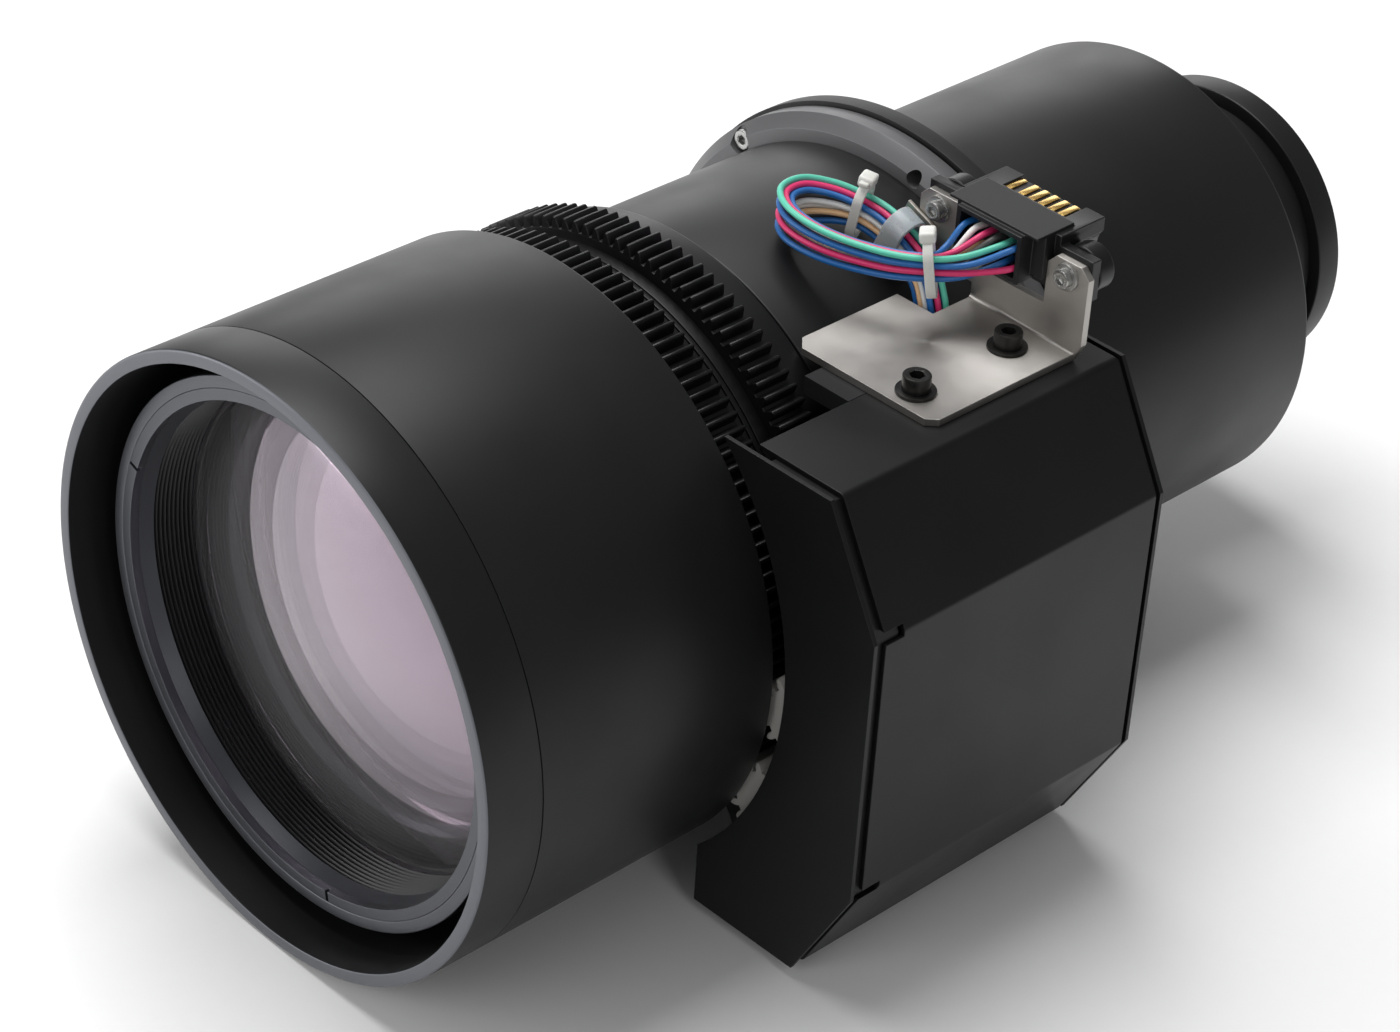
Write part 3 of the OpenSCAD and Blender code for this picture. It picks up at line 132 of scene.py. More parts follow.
def group_tree(name, inputs, outputs):
    """A new shader group with its sockets, or None if it is there already"""
    if name in bpy.data.node_groups:
        return None
    tree = bpy.data.node_groups.new(name, "ShaderNodeTree")
    for label, kind, value in inputs:
        socket = tree.interface.new_socket(label, in_out='INPUT', socket_type=kind)
        if value is not None:
            socket.default_value = value
    for label, kind in outputs:
        tree.interface.new_socket(label, in_out='OUTPUT', socket_type=kind)
    return tree


def link_chain(tree, pairs):
    for source, target in pairs:
        tree.links.new(source, target)


def grain_group():
    """Fine grain: a value that wanders between two limits, and a height for a Bump node"""
    tree = group_tree("Fine Grain",
                      [("Vector", "NodeSocketVector", None), ("Patch Scale", "NodeSocketFloat", 40.0),
                       ("Grain Scale", "NodeSocketFloat", 2500.0), ("Low", "NodeSocketFloat", 0.4),
                       ("High", "NodeSocketFloat", 0.5)],
                      [("Value", "NodeSocketFloat"), ("Height", "NodeSocketFloat")])
    if tree is None:
        return bpy.data.node_groups["Fine Grain"]
    n = tree.nodes
    start, end = n.new("NodeGroupInput"), n.new("NodeGroupOutput")
    patch, grain = n.new("ShaderNodeTexNoise"), n.new("ShaderNodeTexNoise")
    spread = n.new("ShaderNodeMapRange")
    patch.inputs["Detail"].default_value = 5
    grain.inputs["Detail"].default_value = 3
    spread.inputs["From Min"].default_value = 0.3
    spread.inputs["From Max"].default_value = 0.7
    link_chain(tree, [
        (start.outputs["Vector"], patch.inputs["Vector"]),
        (start.outputs["Patch Scale"], patch.inputs["Scale"]),
        (start.outputs["Vector"], grain.inputs["Vector"]),
        (start.outputs["Grain Scale"], grain.inputs["Scale"]),
        (patch.outputs["Fac"], spread.inputs["Value"]), (start.outputs["Low"], spread.inputs["To Min"]),
        (start.outputs["High"], spread.inputs["To Max"]), (spread.outputs["Result"], end.inputs["Value"]),
        (grain.outputs["Fac"], end.inputs["Height"])])
    return tree


def brushed_group():
    """Brushed streaks along one axis of the piece, with cloudy handling marks"""
    tree = group_tree("Brushed Sheet",
                      [("Vector", "NodeSocketVector", None),
                       ("Stretch", "NodeSocketVector", (30, 1500, 1500)),
                       ("Cloud Scale", "NodeSocketFloat", 45.0)],
                      [("Streaks", "NodeSocketFloat"), ("Clouds", "NodeSocketFloat")])
    if tree is None:
        return bpy.data.node_groups["Brushed Sheet"]
    n = tree.nodes
    start, end = n.new("NodeGroupInput"), n.new("NodeGroupOutput")
    stretched, streak = n.new("ShaderNodeVectorMath"), n.new("ShaderNodeTexNoise")
    cloud, ramp = n.new("ShaderNodeTexNoise"), n.new("ShaderNodeMapRange")
    stretched.operation = 'MULTIPLY'
    streak.inputs["Scale"].default_value = 1
    streak.inputs["Detail"].default_value = 4
    cloud.inputs["Detail"].default_value = 6
    cloud.inputs["Roughness"].default_value = 0.62
    ramp.inputs["From Min"].default_value = 0.35
    ramp.inputs["From Max"].default_value = 0.68
    link_chain(tree, [
        (start.outputs["Vector"], stretched.inputs[0]), (start.outputs["Stretch"], stretched.inputs[1]),
        (stretched.outputs["Vector"], streak.inputs["Vector"]),
        (start.outputs["Vector"], cloud.inputs["Vector"]),
        (start.outputs["Cloud Scale"], cloud.inputs["Scale"]), (cloud.outputs["Fac"], ramp.inputs["Value"]),
        (streak.outputs["Fac"], end.inputs["Streaks"]), (ramp.outputs["Result"], end.inputs["Clouds"])])
    return tree


def turned_group():
    """Fine turning lines round the optical axis"""
    tree = group_tree("Turning Lines",
                      [("Vector", "NodeSocketVector", None), ("Pitch Scale", "NodeSocketFloat", 9000.0)],
                      [("Height", "NodeSocketFloat"), ("Sheen", "NodeSocketFloat")])
    if tree is None:
        return bpy.data.node_groups["Turning Lines"]
    n = tree.nodes
    start, end = n.new("NodeGroupInput"), n.new("NodeGroupOutput")
    parts, radius = n.new("ShaderNodeSeparateXYZ"), n.new("ShaderNodeVectorMath")
    across, place = n.new("ShaderNodeCombineXYZ"), n.new("ShaderNodeCombineXYZ")
    lines, sheen = n.new("ShaderNodeTexNoise"), n.new("ShaderNodeTexNoise")
    radius.operation = 'LENGTH'
    lines.inputs["Detail"].default_value = 2
    sheen.inputs["Scale"].default_value = 60
    sheen.inputs["Detail"].default_value = 4
    link_chain(tree, [
        (start.outputs["Vector"], parts.inputs["Vector"]), (parts.outputs["X"], across.inputs["X"]),
        (parts.outputs["Z"], across.inputs["Z"]), (across.outputs["Vector"], radius.inputs[0]),
        (radius.outputs["Value"], place.inputs["X"]), (parts.outputs["Y"], place.inputs["Y"]),
        (place.outputs["Vector"], lines.inputs["Vector"]),
        (start.outputs["Pitch Scale"], lines.inputs["Scale"]),
        (start.outputs["Vector"], sheen.inputs["Vector"]), (lines.outputs["Fac"], end.inputs["Height"]),
        (sheen.outputs["Fac"], end.inputs["Sheen"])])
    return tree


# Materials

class Finish:
    """A material with its Principled shader, for wiring a finish in a few lines"""

    def __init__(self, name, **values):
        self.material = bpy.data.materials.new(name)
        self.material.use_nodes = True
        self.tree = self.material.node_tree
        self.nodes = self.tree.nodes
        self.shader = self.nodes["Principled BSDF"]
        self.place = self.nodes.new("ShaderNodeTexCoord").outputs["Object"]
        for label, value in values.items():
            self.shader.inputs[label.replace("_", " ")].default_value = value

    def link(self, source, target):
        self.tree.links.new(source, target)

    def group(self, tree, **values):
        node = self.nodes.new("ShaderNodeGroup")
        node.node_tree = tree
        self.link(self.place, node.inputs["Vector"])
        for label, value in values.items():
            node.inputs[label.replace("_", " ")].default_value = value
        return node

    def bump(self, height, distance, strength=1.0):
        node = self.nodes.new("ShaderNodeBump")
        node.inputs["Distance"].default_value = distance
        node.inputs["Strength"].default_value = strength
        self.link(height, node.inputs["Height"])
        self.link(node.outputs["Normal"], self.shader.inputs["Normal"])
        return node

    def tint(self, fac, low, high):
        node = self.nodes.new("ShaderNodeMix")
        node.data_type = 'RGBA'
        node.inputs["A"].default_value = (*low, 1)
        node.inputs["B"].default_value = (*high, 1)
        self.link(fac, node.inputs["Factor"])
        self.link(node.outputs["Result"], self.shader.inputs["Base Color"])
        return node

    def spread(self, value, low, high, socket):
        node = self.nodes.new("ShaderNodeMapRange")
        node.inputs["To Min"].default_value = low
        node.inputs["To Max"].default_value = high
        self.link(value, node.inputs["Value"])
        self.link(node.outputs["Result"], self.shader.inputs[socket])
        return node


def scaled(colour, share):
    return tuple(min(1.0, c * share) for c in colour)


def grained(name, colour, low, high, patch=30.0, grain=2200.0, depth=0.01, strength=0.35, swing=0.12,
            **values):
    """Paint, anodising or moulded plastic: patchy roughness, a little colour change and fine grain"""
    made = Finish(name, **values)
    grain_node = made.group(grain_group(), Patch_Scale=patch, Grain_Scale=grain, Low=low, High=high)
    made.link(grain_node.outputs["Value"], made.shader.inputs["Roughness"])
    made.bump(grain_node.outputs["Height"], depth * MM, strength)
    made.tint(grain_node.outputs["Height"], scaled(colour, 1 - swing), scaled(colour, 1 + swing))
    return made.material


def machined(name, colour, low, high, metal=1.0, depth=0.006, swing=0.1, level=0.5):
    """A surface turned round the optical axis"""
    made = Finish(name, Metallic=metal, Specular_IOR_Level=level)
    lines = made.group(turned_group())
    made.bump(lines.outputs["Height"], depth * MM, 0.4)
    made.spread(lines.outputs["Sheen"], low, high, "Roughness")
    made.tint(lines.outputs["Height"], scaled(colour, 1 - swing), scaled(colour, 1 + swing))
    return made.material


def stainless(name, colour, stretch):
    """Brushed stainless sheet; stretch sets along which axis the streaks run"""
    made = Finish(name, Metallic=1.0)
    sheet = made.group(brushed_group(), Stretch=stretch)
    made.bump(sheet.outputs["Streaks"], 0.004 * MM, 0.5)
    made.spread(sheet.outputs["Clouds"], 0.42, 0.54, "Roughness")
    made.tint(sheet.outputs["Clouds"], scaled(colour, 0.92), scaled(colour, 1.05))
    made.shader.inputs["Anisotropic"].default_value = 0.4
    return made.material


def coated_glass(name, tint, reflection, level, index=1.6, clear=1.0):
    """Polished glass whose coating reflects a colour, a little stronger in some patches"""
    made = Finish(name, Roughness=0.0, IOR=index, Transmission_Weight=clear)
    made.shader.inputs["Base Color"].default_value = (*tint, 1)
    made.shader.inputs["Specular Tint"].default_value = (*reflection, 1)
    patches = made.group(grain_group(), Patch_Scale=12.0, Grain_Scale=900.0, Low=level * 0.92, High=level)
    made.link(patches.outputs["Value"], made.shader.inputs["Specular IOR Level"])
    return made.material


def finish(name):
    """The material of that name, made the first time it is asked for"""
    if name in bpy.data.materials:
        return bpy.data.materials[name]
    colours = bpy.context.scene.lens_colours
    paint, rim, box = tuple(colours.paint), tuple(colours.rim), tuple(colours.box)
    makers = {
        "hood_satin": lambda: grained(name, paint, 0.36, 0.46, depth=0.012, Specular_IOR_Level=0.3),
        "barrel_paint": lambda: grained(name, scaled(paint, 1.1), 0.36, 0.46, depth=0.012,
                                        Specular_IOR_Level=0.35),
        "rim_metal": lambda: machined(name, rim, 0.34, 0.48, metal=0.6),
        "cell_metal": lambda: machined(name, scaled(rim, 0.8), 0.3, 0.42, metal=0.7),
        "retainer_metal": lambda: machined(name, scaled(rim, 0.75), 0.28, 0.4, metal=0.75),
        # Painted light: the inner wall of the front cell is a machined grey made lighter to stand in for the
        # light that the front glass keeps from it
        "cell_inner": lambda: machined(name, (0.30, 0.28, 0.29), 0.35, 0.5, metal=0.2),
        "thread_black": lambda: machined(name, (0.008, 0.008, 0.009), 0.32, 0.5, metal=0.0, level=0.3),
        "ring_plastic": lambda: grained(name, (0.004, 0.004, 0.0042), 0.34, 0.46, grain=1500, depth=0.02,
                                        Specular_IOR_Level=0.28),
        "pinion_plastic": lambda: grained(name, (0.36, 0.35, 0.33), 0.34, 0.45, depth=0.01),
        "flange_metal": lambda: machined(name, (0.13, 0.13, 0.135), 0.36, 0.48, metal=0.5),
        "seat_metal": lambda: machined(name, (0.014, 0.014, 0.015), 0.4, 0.5, metal=0.2, level=0.3),
        "box_coat": lambda: grained(name, box, 0.34, 0.44, grain=1300, depth=0.014, strength=0.3,
                                    Specular_IOR_Level=0.25),
        "black_oxide": lambda: grained(name, (0.022, 0.021, 0.020), 0.26, 0.42, patch=300, depth=0.004,
                                       Metallic=0.6),
        "zinc_steel": lambda: grained(name, (0.42, 0.42, 0.41), 0.22, 0.36, patch=400, depth=0.003,
                                      Metallic=1.0),
        "bracket_steel": lambda: stainless(name, tuple(colours.bracket), (25, 1400, 1400)),
        "connector_plastic": lambda: grained(name, (0.007, 0.007, 0.008), 0.32, 0.46, grain=1800, depth=0.015,
                                             Specular_IOR_Level=0.35),
        "gold_plate": lambda: grained(name, (0.92, 0.60, 0.20), 0.18, 0.3, patch=300, depth=0.003,
                                      Metallic=1.0),
        "turned_brass": lambda: grained(name, (0.62, 0.47, 0.19), 0.2, 0.34, patch=300, depth=0.003,
                                        Metallic=1.0),
        "inner_black": lambda: machined(name, (0.006, 0.006, 0.006), 0.5, 0.65, metal=0.0, level=0.15),
        "motor_can": lambda: grained(name, (0.5, 0.5, 0.51), 0.25, 0.36, depth=0.004, Metallic=1.0),
        "sensor_board": lambda: grained(name, (0.03, 0.12, 0.07), 0.35, 0.5, patch=200, depth=0.01),
        "tie_milky": lambda: grained(name, (0.84, 0.84, 0.80), 0.3, 0.4, patch=200, depth=0.005, swing=0.03,
                                     Subsurface_Weight=0.25, Subsurface_Radius=(0.002, 0.002, 0.0015),
                                     Transmission_Weight=0.25),
        "clip_nylon": lambda: grained(name, (0.50, 0.52, 0.54), 0.25, 0.36, patch=200, depth=0.005,
                                      swing=0.05, Subsurface_Weight=0.2, Transmission_Weight=0.3),
        "foot_steel": lambda: stainless(name, (0.46, 0.43, 0.39), (1200, 40, 1200)),
        "front_glass": lambda: coated_glass(name, (0.97, 0.95, 0.98), (1.0, 0.80, 0.98), 1.0, 1.8, 0.95),
        "second_glass": lambda: coated_glass(name, (0.95, 0.88, 0.96), (1.0, 0.66, 0.86), 1.0, 2.0),
        "inner_glass": lambda: coated_glass(name, (0.90, 0.88, 0.94), (1.0, 0.72, 0.95), 0.9),
    }
    for label, colour in LEAD_COLOURS.items():
        makers["wire_" + label] = lambda colour=colour: grained(
            name, colour, 0.32, 0.44, patch=250, grain=900, depth=0.006, swing=0.05)
    return makers[name]()


LEAD_COLOURS = {
    "blue": (0.015, 0.13, 0.40),
    "white": (0.80, 0.80, 0.78),
    "pink": (0.72, 0.035, 0.16),
    "gray": (0.06, 0.058, 0.058),
    "teal": (0.10, 0.55, 0.40),
    "peach": (0.90, 0.58, 0.32),
}


# Mesh helpers: places are in millimetres in the row frame

def rounded(points, steps=3):
    """A closed outline of (a, b) or (a, b, radius) points with its corners rounded"""
    out = []
    count = len(points)
    for i, point in enumerate(points):
        radius = point[2] if len(point) > 2 else 0
        here = Vector(point[:2])
        if radius <= 0:
            out.append(tuple(here))
            continue
        back, ahead = Vector(points[i - 1][:2]) - here, Vector(points[(i + 1) % count][:2]) - here
        half = back.angle(ahead) / 2
        reach = min(radius / math.tan(half), back.length * 0.49, ahead.length * 0.49)
        start, end = here + back.normalized() * reach, here + ahead.normalized() * reach
        for k in range(steps + 1):
            t = k / steps
            out.append(tuple((1 - t) ** 2 * start + 2 * t * (1 - t) * here + t ** 2 * end))
    return out


def new_piece(name, bm, smooth=35, merge=1e-7):
    """Turns a bmesh in metres into an object at the origin"""
    if merge:
        bmesh.ops.remove_doubles(bm, verts=bm.verts, dist=merge)
    bmesh.ops.recalc_face_normals(bm, faces=bm.faces)
    mesh = bpy.data.meshes.new(name)
    bm.to_mesh(mesh)
    bm.free()
    obj = bpy.data.objects.new(name, mesh)
    bpy.context.scene.collection.objects.link(obj)
    mesh.shade_smooth()
    mesh.set_sharp_from_angle(angle=math.radians(smooth))
    return obj


def skin(bm, rings, capped=False):
    """Joins rings of points into a surface; a ring that repeats one point closes to a tip"""
    for a, b in zip(rings, rings[1:]):
        count = len(a)
        for k in range(count):
            corners = [a[k], a[(k + 1) % count], b[(k + 1) % count], b[k]]
            unique = [v for i, v in enumerate(corners) if v not in corners[:i]]
            if len(unique) > 2:
                bm.faces.new(unique)
    if capped:
        bm.faces.new(rings[0])
        bm.faces.new(list(reversed(rings[-1])))


def add_turned(bm, profile, place=None, steps=ROUND_STEPS, closed=True):
    """Adds a surface turned about the local Y axis from (radius, station) points in millimetres"""
    rings = []
    for r, y in profile:
        if r < 1e-6:
            rings.append([bm.verts.new((0, y * MM, 0))] * steps)
            continue
        rings.append([bm.verts.new((r * MM * math.cos(2 * math.pi * k / steps), y * MM,
                                    r * MM * math.sin(2 * math.pi * k / steps))) for k in range(steps)])
    if place is not None:
        for v in {v for ring in rings for v in ring}:
            v.co = place @ v.co
    skin(bm, rings + rings[:1] if closed else rings)


def turned_piece(name, outline):
    """A piece turned about the optical axis from a closed outline"""
    bm = bmesh.new()
    add_turned(bm, rounded(outline))
    return new_piece(name, bm)


def add_block(bm, low, high, soft=0.2, segments=2):
    """Adds a block between two corners, in millimetres, with rounded edges"""
    size = Vector(high) - Vector(low)
    middle = (Vector(high) + Vector(low)) / 2
    made = bmesh.ops.create_cube(bm, size=1.0, matrix=Matrix.LocRotScale(middle * MM, None, size * MM))
    verts = made["verts"]
    edges = list({e for v in verts for e in v.link_edges})
    if soft > 0:
        made = bmesh.ops.bevel(bm, geom=edges, offset=min(soft, min(size) * 0.45) * MM, segments=segments,
                               profile=0.5, affect='EDGES', clamp_overlap=True)
    return made


def add_prism(bm, outline, place):
    """Adds a prism from a closed outline; place(a, b, side) gives each corner in millimetres"""
    sides = [[bm.verts.new(Vector(place(a, b, side)) * MM) for a, b in outline] for side in (0, 1)]
    skin(bm, sides, capped=True)


def bake(obj):
    """Turns an object with modifiers into a plain mesh"""
    bpy.context.view_layer.update()
    evaluated = obj.evaluated_get(bpy.context.evaluated_depsgraph_get())
    mesh = bpy.data.meshes.new_from_object(evaluated)
    obj.modifiers.clear()
    obj.data = mesh
    mesh.name = obj.name
    return obj


def soften(obj, width, segments=2, angle=30):
    """Rounds the sharp edges"""
    bevel = obj.modifiers.new("Edges", 'BEVEL')
    bevel.width = width
    bevel.segments = segments
    bevel.limit_method = 'ANGLE'
    bevel.angle_limit = math.radians(angle)
    bevel.harden_normals = True
    return bake(obj)


def node_copy(node):
    """A merged copy of a CAD node's mesh, with one face for each flat stretch"""
    bm = bmesh.new()
    bm.from_mesh(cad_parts[node].data)
    bmesh.ops.remove_doubles(bm, verts=bm.verts, dist=NODE_MERGE)
    bmesh.ops.dissolve_limit(bm, angle_limit=math.radians(FLAT_ANGLE), verts=bm.verts, edges=bm.edges)
    return bm


def from_node(node, name, width, segments=2, angle=30):
    """A copy of a CAD node with its sharp edges rounded"""
    return soften(new_piece(name, node_copy(node), smooth=angle, merge=0), width, segments, angle)


def settle(obj, body, material, node):
    """Gives a finished piece its material, its body and the CAD node that it stands for"""
    if material:
        obj.data.materials.clear()
        obj.data.materials.append(finish(material))
    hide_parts(node)
    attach(obj, body)


# Geometry Nodes trees

def nodes_tree(name, inputs):
    """A new geometry tree with a geometry output, or None if it is there already"""
    if name in bpy.data.node_groups:
        return None
    tree = bpy.data.node_groups.new(name, "GeometryNodeTree")
    tree.interface.new_socket("Geometry", in_out='INPUT', socket_type="NodeSocketGeometry")
    for label, kind in inputs:
        tree.interface.new_socket(label, in_out='INPUT', socket_type=kind)
    tree.interface.new_socket("Geometry", in_out='OUTPUT', socket_type="NodeSocketGeometry")
    return tree


def around_axis_tree():
    """Copies a piece evenly round an axis that runs along Y through Centre, and joins it to the input mesh"""
    tree = nodes_tree("Around Axis", [
        ("Piece", "NodeSocketObject"), ("Count", "NodeSocketInt"), ("Start Angle", "NodeSocketFloat"),
        ("Centre", "NodeSocketVector"), ("Material", "NodeSocketMaterial")])
    if tree is None:
        return bpy.data.node_groups["Around Axis"]
    n = tree.nodes
    start, end = n.new("NodeGroupInput"), n.new("NodeGroupOutput")
    line, info = n.new("GeometryNodeMeshLine"), n.new("GeometryNodeObjectInfo")
    index = n.new("GeometryNodeInputIndex")
    step, turn, total = n.new("ShaderNodeMath"), n.new("ShaderNodeMath"), n.new("ShaderNodeMath")
    angles, copies = n.new("ShaderNodeCombineXYZ"), n.new("GeometryNodeInstanceOnPoints")
    realize, paint = n.new("GeometryNodeRealizeInstances"), n.new("GeometryNodeSetMaterial")
    join = n.new("GeometryNodeJoinGeometry")
    line.inputs["Offset"].default_value = (0, 0, 0)
    step.operation = 'DIVIDE'
    step.inputs[0].default_value = -2 * math.pi
    turn.operation = 'MULTIPLY'
    total.operation = 'SUBTRACT'
    link_chain(tree, [
        (start.outputs["Count"], line.inputs["Count"]),
        (start.outputs["Centre"], line.inputs["Start Location"]),
        (start.outputs["Piece"], info.inputs["Object"]), (start.outputs["Count"], step.inputs[1]),
        (index.outputs["Index"], turn.inputs[0]), (step.outputs["Value"], turn.inputs[1]),
        (turn.outputs["Value"], total.inputs[0]), (start.outputs["Start Angle"], total.inputs[1]),
        (total.outputs["Value"], angles.inputs["Y"]), (line.outputs["Mesh"], copies.inputs["Points"]),
        (info.outputs["Geometry"], copies.inputs["Instance"]),
        (angles.outputs["Vector"], copies.inputs["Rotation"]),
        (start.outputs["Geometry"], join.inputs["Geometry"]),
        (copies.outputs["Instances"], join.inputs["Geometry"]),
        (join.outputs["Geometry"], realize.inputs["Geometry"]),
        (realize.outputs["Geometry"], paint.inputs["Geometry"]),
        (start.outputs["Material"], paint.inputs["Material"]),
        (paint.outputs["Geometry"], end.inputs["Geometry"])])
    return tree


def at_points_tree():
    """Copies a piece to each point of the input mesh"""
    tree = nodes_tree("At Points", [("Piece", "NodeSocketObject"), ("Turn", "NodeSocketVector"),
                                    ("Material", "NodeSocketMaterial")])
    if tree is None:
        return bpy.data.node_groups["At Points"]
    n = tree.nodes
    start, end = n.new("NodeGroupInput"), n.new("NodeGroupOutput")
    info, copies = n.new("GeometryNodeObjectInfo"), n.new("GeometryNodeInstanceOnPoints")
    realize, paint = n.new("GeometryNodeRealizeInstances"), n.new("GeometryNodeSetMaterial")
    link_chain(tree, [
        (start.outputs["Geometry"], copies.inputs["Points"]), (start.outputs["Piece"], info.inputs["Object"]),
        (info.outputs["Geometry"], copies.inputs["Instance"]),
        (start.outputs["Turn"], copies.inputs["Rotation"]),
        (copies.outputs["Instances"], realize.inputs["Geometry"]),
        (realize.outputs["Geometry"], paint.inputs["Geometry"]),
        (start.outputs["Material"], paint.inputs["Material"]),
        (paint.outputs["Geometry"], end.inputs["Geometry"])])
    return tree


def grow(obj, tree, **values):
    """Runs a geometry tree on an object and keeps the result as a plain mesh"""
    modifier = obj.modifiers.new(tree.name, 'NODES')
    modifier.node_group = tree
    for item in tree.interface.items_tree:
        label = item.name.replace(" ", "_")
        if item.in_out == 'INPUT' and label in values:
            modifier[item.identifier] = values[label]
    return bake(obj)


def repeat_round(name, base, piece, count, start, centre, material):
    """Repeats a piece round an axis and joins it to the base mesh, then removes the pattern piece"""
    grow(base, around_axis_tree(), Piece=piece, Count=count, Start_Angle=start,
         Centre=Vector(centre) * MM, Material=finish(material))
    bpy.data.objects.remove(piece)
    base.name = name
    return base


def repeat_at(name, piece, places, material, turn=(0, 0, 0)):
    """Repeats a piece at listed places, then removes the pattern piece"""
    mesh = bpy.data.meshes.new(name)
    mesh.from_pydata([Vector(p) * MM for p in places], [], [])
    obj = bpy.data.objects.new(name, mesh)
    bpy.context.scene.collection.objects.link(obj)
    grow(obj, at_points_tree(), Piece=piece, Turn=Vector(turn), Material=finish(material))
    bpy.data.objects.remove(piece)
    return obj


# Front group

class LENS_OT_hood(bpy.types.Operator):
    """Make the hood and its screwed-on front ring"""
    bl_idname = "lens.hood"
    bl_label = "Hood"

    def execute(self, context):
        spigot_r, spigot_y, seam_w, seam_r = 78.25, SEAM_Y - 4, 0.3, 79.65
        web_y, web_t, web_r = -169, 4, 74
        ring = turned_piece("hood_rim", [
            (HOOD_BORE_R, MOUTH_Y, 0.35), (HOOD_R, MOUTH_Y, 0.7), (HOOD_R, SEAM_Y, 0.15),
            (spigot_r + SNUG, SEAM_Y), (spigot_r + SNUG, spigot_y), (HOOD_BORE_R, spigot_y)])
        ring.data.materials.append(finish("hood_satin"))
        ring.data.materials.append(finish("rim_metal"))
        for face in ring.data.polygons:
            if abs(face.normal.y) > 0.35 and face.center.y < (MOUTH_Y + 1) * MM:
                face.material_index = 1
        settle(ring, "focus_group", None, "hood_front_ring")
        hood = turned_piece("hood_shell", [
            (HOOD_BORE_R, spigot_y), (spigot_r, spigot_y), (spigot_r, SEAM_Y), (seam_r, SEAM_Y),
            (seam_r, SEAM_Y + seam_w), (HOOD_R, SEAM_Y + seam_w, 0.1), (HOOD_R, HOOD_REAR_Y, 0.6),
            (HOOD_BORE_R, HOOD_REAR_Y, 0.6), (HOOD_BORE_R, web_y + web_t), (web_r, web_y + web_t, 0.3),
            (web_r, web_y, 0.3), (HOOD_BORE_R, web_y)])
        settle(hood, "focus_group", "hood_satin", "hood")
        return {'FINISHED'}


class LENS_OT_front_cell(bpy.types.Operator):
    """Make the front cell, its retaining ring and the threaded baffle"""
    bl_idname = "lens.front_cell"
    bl_label = "Front cell"

    def execute(self, context):
        ring_y, step_end, skirt_end = CELL_Y + 2.5, CELL_STEP_Y + 4, -107
        ring_r, cell_r, bore_r, skirt_r, second_r, lip_r, land_r = 67.3, 70.5, 66.01, 62.95, 58, 55, 60.5
        lip_y, lip_end = -155, -152
        cell = turned_piece("front_cell_body", [
            (ring_r, CELL_Y, 0.25), (cell_r, CELL_Y, 0.35), (cell_r, CELL_STEP_Y),
            (HOOD_BORE_R - SNUG, CELL_STEP_Y, 0.3), (HOOD_BORE_R - SNUG, step_end), (skirt_r, step_end),
            (skirt_r, skirt_end, 0.4), (second_r, skirt_end, 0.4), (second_r, lip_end), (lip_r, lip_end),
            (lip_r, lip_y), (second_r, lip_y), (second_r, step_end), (land_r, step_end),
            (land_r, CELL_STEP_Y), (bore_r, CELL_STEP_Y), (bore_r, ring_y), (ring_r, ring_y)])
        for label in ("thread_black", "cell_metal", "cell_inner"):
            cell.data.materials.append(finish(label))
        for face in cell.data.polygons:
            inside = math.hypot(face.center.x, face.center.z) < (bore_r + 0.09) * MM
            if face.center.y < (CELL_Y + 0.4) * MM:
                face.material_index = 1
            # Painted light: the bore faces behind the step take the lightened grey that stands in for the
            # light kept out by the front glass
            elif face.center.y > (CELL_STEP_Y - 0.1) * MM and inside:
                face.material_index = 2
        settle(cell, "focus_group", None, "front_cell")
        ring = from_node("front_retaining_ring", "front_ring", 0.15 * MM)
        settle(ring, "focus_group", "retainer_metal", "front_retaining_ring")
        cone_end, mouth_r, crest_r, groove_r, pitch = CELL_Y + 6.4, 64.3, 63.3, 64.1, 1.3
        outline = [(FRONT_GLASS_R, FRONT_GLASS_Y), (FRONT_GLASS_R, ring_y), (mouth_r, ring_y),
                   (crest_r, cone_end)]
        y = cone_end
        while y < FRONT_GLASS_Y - 1:
            outline += [(groove_r, y), (groove_r, min(y + 0.5, FRONT_GLASS_Y)),
                        (crest_r, min(y + 1.0, FRONT_GLASS_Y))]
            y += pitch
        outline.append((crest_r, FRONT_GLASS_Y))
        baffle = turned_piece("threaded_baffle", outline)
        for label in ("thread_black", "cell_metal"):
            baffle.data.materials.append(finish(label))
        for face in baffle.data.polygons:
            if face.center.y < (cone_end - 0.1) * MM:
                face.material_index = 1
        settle(baffle, "focus_group", None, "front_baffle")
        return {'FINISHED'}


GLASS_NAMES = {
    "front_element": "front_lens", "second_element": "second_lens", "variator_lens": "variator_glass",
    "compensator_lens": "compensator_glass", "relay_element": "relay_glass", "rear_element": "rear_glass",
}


def sag(curve, r):
    """How far a sphere of radius curve falls away at radius r"""
    return curve - math.sqrt(curve * curve - r * r)


def lens_piece(name, y, r, edge, front, back, front_r, back_r, land=3.1, steps=28):
    """A lens whose front and back bulge out (1) or are hollow (-1)"""
    clear = r - land
    levels = [clear * i / steps for i in range(steps + 1)]
    outline = [(at, y - front * (sag(front_r, clear) - sag(front_r, at))) for at in levels]
    outline += [(r, y), (r, y + edge)]
    outline += [(at, y + edge + back * (sag(back_r, clear) - sag(back_r, at))) for at in reversed(levels)]
    bm = bmesh.new()
    add_turned(bm, outline, steps=128, closed=False)
    return new_piece(name, bm)


